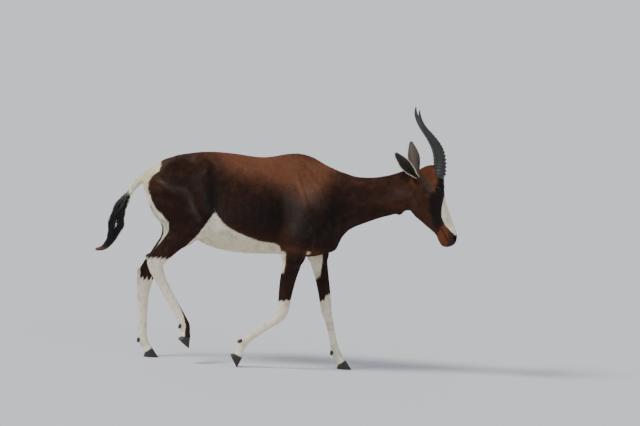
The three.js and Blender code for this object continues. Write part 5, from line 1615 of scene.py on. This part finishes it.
class BONTEBOK_OT_hooves(BontebokOperator, bpy.types.Operator):
    """Cloven hooves with growth lines, and the dewclaws behind them"""

    bl_idname = "bontebok.hooves"
    bl_label = "Hooves"

    def execute(self, context):
        s = context.scene.bontebok_hoof
        material = hoof_material()
        dewclaws = []
        for leg, (line, foot, _, _) in LEGS.items():
            y = line[-1][1]
            claws = [claw_mesh(t, y, foot, s.growth_lines) for t in (-1, 1)]
            p, tris = merge(claws)
            hoof = build(leg + "_hoof", p, tris, None, material)
            finish_piece(hoof, "hoof", leg + "_hoof_inner", leg + "_hoof_outer")
            fet, nxt = np.array(line[-3], float), np.array(line[-2], float)
            down = unit([nxt[0] - fet[0], 0, nxt[2] - fet[2]])
            behind = np.array([down[2], 0, -down[0]])
            for t in (-1, 1):
                start = np.array([fet[0], y + t * 9, fet[2]]) + behind * fet[4] * 0.6 - down * 9
                share = np.linspace(0, 1, 9)[:, None]
                points = start + share * (behind * 13.5 + down * 12 + [0, 3 * t, 0]) + share**2 * (down * 3)
                ripple = 1 + 0.05 * np.sin(share[:, 0] * 20)
                radii = 7.2 * np.sqrt(np.maximum(1 - share[:, 0] ** 2.4, 0.05)) * ripple
                dewclaws.append(tube(points, radii, 14, 0.8))
        p, tris = merge(dewclaws)
        finish_piece(build("dewclaws", p, tris, None, material), "hoof")
        return {"FINISHED"}


class BONTEBOK_OT_tail(BontebokOperator, bpy.types.Operator):
    """The black tassel of the tail, strand by strand along its curve"""

    bl_idname = "bontebok.tail"
    bl_label = "Tail"

    def execute(self, context):
        s = context.scene.bontebok_tail
        line = smooth_line(TUFT_LINE, 10)
        material = strand_material("tail hair", s.black, s.tip, s.pale)
        tail = grow("tail_tassel", line[:, :3], line[:, 3:].mean(1), strands_tree(), Count=s.strands,
                    Width=s.width, Parting=s.parting, Parting_place=0.53, Length=0.5, Seed=4, Material=material)
        finish_piece(tail, "tail_hair", "tail_tuft")
        return {"FINISHED"}


class BONTEBOK_OT_stage(BontebokOperator, bpy.types.Operator):
    """Pale floor, soft studio lights and the camera"""

    bl_idname = "bontebok.stage"
    bl_label = "Stage"

    def execute(self, context):
        s, scene = context.scene.bontebok_stage, context.scene
        mesh = bpy.data.meshes.new("floor")
        half = s.floor_size / 2
        corners = [(-half, -half, 0), (half, -half, 0), (half, half, 0), (-half, half, 0)]
        mesh.from_pydata(corners, [], [(0, 1, 2, 3)])
        mesh.materials.append(floor_material())
        floor = bpy.data.objects.new("floor", mesh)
        scene.collection.objects.link(floor)
        world = bpy.data.worlds.new("studio")
        world.use_nodes = True
        sky = world.node_tree.nodes["Background"].inputs
        sky["Color"].default_value = (0.86, 0.9, 1.0, 1)
        sky["Strength"].default_value = s.surround
        scene.world = world
        for name, way, angle, power in (("key", (-0.72, -0.42, 0.9), 16, s.key),
                                        ("fill", (0.8, -0.9, 0.5), 60, s.fill)):
            light = bpy.data.lights.new(name, "SUN")
            light.angle, light.energy = math.radians(angle), power
            lamp = bpy.data.objects.new(name, light)
            lamp.matrix_world = look(4 * np.array(way), unit(way), 0.0)
            scene.collection.objects.link(lamp)
        camera = bpy.data.cameras.new("camera")
        camera.sensor_width = 36
        camera.lens = 36 * s.distance / s.picture_width
        camera.clip_end = 400
        viewer = bpy.data.objects.new("camera", camera)
        a, e = s.azimuth, s.elevation
        back = np.array([math.sin(a) * math.cos(e), -math.cos(a) * math.cos(e), math.sin(e)])
        viewer.matrix_world = look(AIM + s.distance * back, back, s.roll)
        scene.collection.objects.link(viewer)
        scene.camera = viewer
        return {"FINISHED"}


def look(place, back, roll):
    """A matrix at a place, with its back given and turned by roll about it."""
    right = unit(np.cross(UP, back))
    up = np.cross(back, right)
    r = math.cos(roll) * right + math.sin(roll) * up
    u = -math.sin(roll) * right + math.cos(roll) * up
    return Matrix([[r[i], u[i], back[i], place[i]] for i in range(3)] + [[0, 0, 0, 1]])


def tint(red, green, blue):
    """A colour as seen on screen, as the linear numbers that shaders take."""
    return tuple(((c / 255 + 0.055) / 1.055) ** 2.4 if c > 10 else c / 255 / 12.92 for c in (red, green, blue))


def colour(name, description, *rgb):
    return FloatVectorProperty(name=name, description=description, subtype="COLOR", min=0, max=1,
                               default=tint(*rgb))


def length(name, description, default):
    return FloatProperty(name=name, description=description, default=default, unit="LENGTH")


def angle(name, description, default):
    return FloatProperty(name=name, description=description, default=default, unit="ROTATION")


class CoatSettings(bpy.types.PropertyGroup):
    depth: length("Coat depth", "How far the skin lies under the solids", 0.002)
    body_hair: length("Body hair", "Length of a tuft on the body", 0.0125)
    face_hair: length("Face hair", "Length of a tuft on face and feet", 0.006)
    dark: colour("Dark brown", "Neck, haunch and flank", 46, 27, 19)
    saddle: colour("Saddle", "Red-brown of the back", 116, 73, 50)
    rust: colour("Rust", "Brow, muzzle and edges of the belly", 101, 56, 32)
    white: colour("White", "Blaze, rump, belly and lower legs", 232, 223, 200)
    # Cream is the real colour of the tail's root, and painted warm bounce light on the shaded belly
    cream: colour("Cream", "Root of the tail and shaded belly", 228, 212, 166)
    # Grey is the ears' own colour, and also the colour of the painted sheen on shoulder and haunch
    grey: colour("Grey", "Ears and the bloom on the shoulder", 108, 102, 92)
    black: colour("Black brown", "Face, shoulder and flank shadows", 20, 13, 12)
    leather: colour("Leather", "Bare skin of nose, lips and lids", 34, 27, 27)


class HornSettings(bpy.types.PropertyGroup):
    rings: IntProperty(name="Rings", description="Rings on the lower part of a horn", default=17, min=0)
    ring_height: FloatProperty(name="Ring height", description="Height of a ring as a share of the radius",
                               default=0.19)
    valley: colour("Valleys", "Horn between the rings", 44, 46, 42)
    # The ridge colour also paints shade on the horn's forward-facing side
    ridge: colour("Ridges", "Horn on the rings", 24, 25, 24)
    worn: colour("Worn", "Rubbed places", 66, 66, 59)


class EyeSettings(bpy.types.PropertyGroup):
    iris: colour("Iris", "Dark brown of the iris", 20, 12, 9)
    iris_edge: colour("Iris streaks", "Lighter streaks of the iris", 36, 21, 13)
    white: colour("White of the eye", "Dark white round the iris", 24, 18, 15)


class HoofSettings(bpy.types.PropertyGroup):
    growth_lines: FloatProperty(name="Growth lines", description="Ridges between coronet and sole", default=7)
    wall: colour("Wall", "Hoof wall", 30, 27, 26)
    worn: colour("Worn", "Rubbed horn of the hoof", 58, 53, 48)


class TailSettings(bpy.types.PropertyGroup):
    strands: IntProperty(name="Strands", description="Hair strands of the tassel", default=1200, min=1)
    width: length("Strand width", "Radius of a strand at its root", 0.0011)
    parting: length("Parting", "Half width of the gap between the locks", 0.007)
    black: colour("Black", "Strands", 26, 23, 24)
    tip: colour("Tip", "Sun-bleached tip", 128, 82, 62)
    pale: colour("Roots", "Hair that starts in the white of the dock", 222, 210, 176)


class StageSettings(bpy.types.PropertyGroup):
    distance: length("Camera distance", "From the camera to the aim", 16.0)
    picture_width: length("Picture width", "Width seen at the aim", 2.72)
    azimuth: angle("Azimuth", "Turn of the camera about the animal", VIEW_TURN)
    elevation: angle("Elevation", "Height of the camera as an angle", VIEW_TILT)
    roll: angle("Roll", "Tilt of the picture", math.atan2(14, 196))
    floor_size: length("Floor", "Side of the floor", 240.0)
    floor: colour("Floor colour", "Pale plain floor", 222, 222, 223)
    key: FloatProperty(name="Key light", description="Strength of the soft key light", default=2.6)
    fill: FloatProperty(name="Fill light", description="Strength of the fill light", default=0.4)
    surround: FloatProperty(name="Surround", description="Strength of the light from all round", default=0.55)


class BONTEBOK_PT_panel(bpy.types.Panel):
    """Lists the pieces in the order in which they are made"""

    bl_idname = "BONTEBOK_PT_panel"
    bl_label = "Bontebok"
    bl_space_type = "VIEW_3D"
    bl_region_type = "UI"
    bl_category = "Bontebok"

    def draw(self, context):
        for settings in SETTINGS:
            box = self.layout.box()
            for key in settings[1].__annotations__:
                box.prop(getattr(context.scene, settings[0]), key)
        for operator in OPERATORS:
            self.layout.operator(operator.bl_idname)


SETTINGS = (("bontebok_coat", CoatSettings), ("bontebok_horn", HornSettings), ("bontebok_eye", EyeSettings),
            ("bontebok_hoof", HoofSettings), ("bontebok_tail", TailSettings), ("bontebok_stage", StageSettings))
OPERATORS = (BONTEBOK_OT_skin, BONTEBOK_OT_coat, BONTEBOK_OT_horns, BONTEBOK_OT_eyes, BONTEBOK_OT_hooves,
             BONTEBOK_OT_tail, BONTEBOK_OT_stage)


def register():
    for name, settings in SETTINGS:
        bpy.utils.register_class(settings)
        setattr(bpy.types.Scene, name, PointerProperty(type=settings))
    for cls in (*OPERATORS, BONTEBOK_PT_panel):
        bpy.utils.register_class(cls)


def unregister():
    for cls in (BONTEBOK_PT_panel, *reversed(OPERATORS)):
        bpy.utils.unregister_class(cls)
    for name, settings in reversed(SETTINGS):
        delattr(bpy.types.Scene, name)
        bpy.utils.unregister_class(settings)


def main():
    register()
    for piece in ("skin", "coat", "horns", "eyes", "hooves", "tail", "stage"):
        getattr(bpy.ops.bontebok, piece)()


if __name__ == "__main__":
    main()
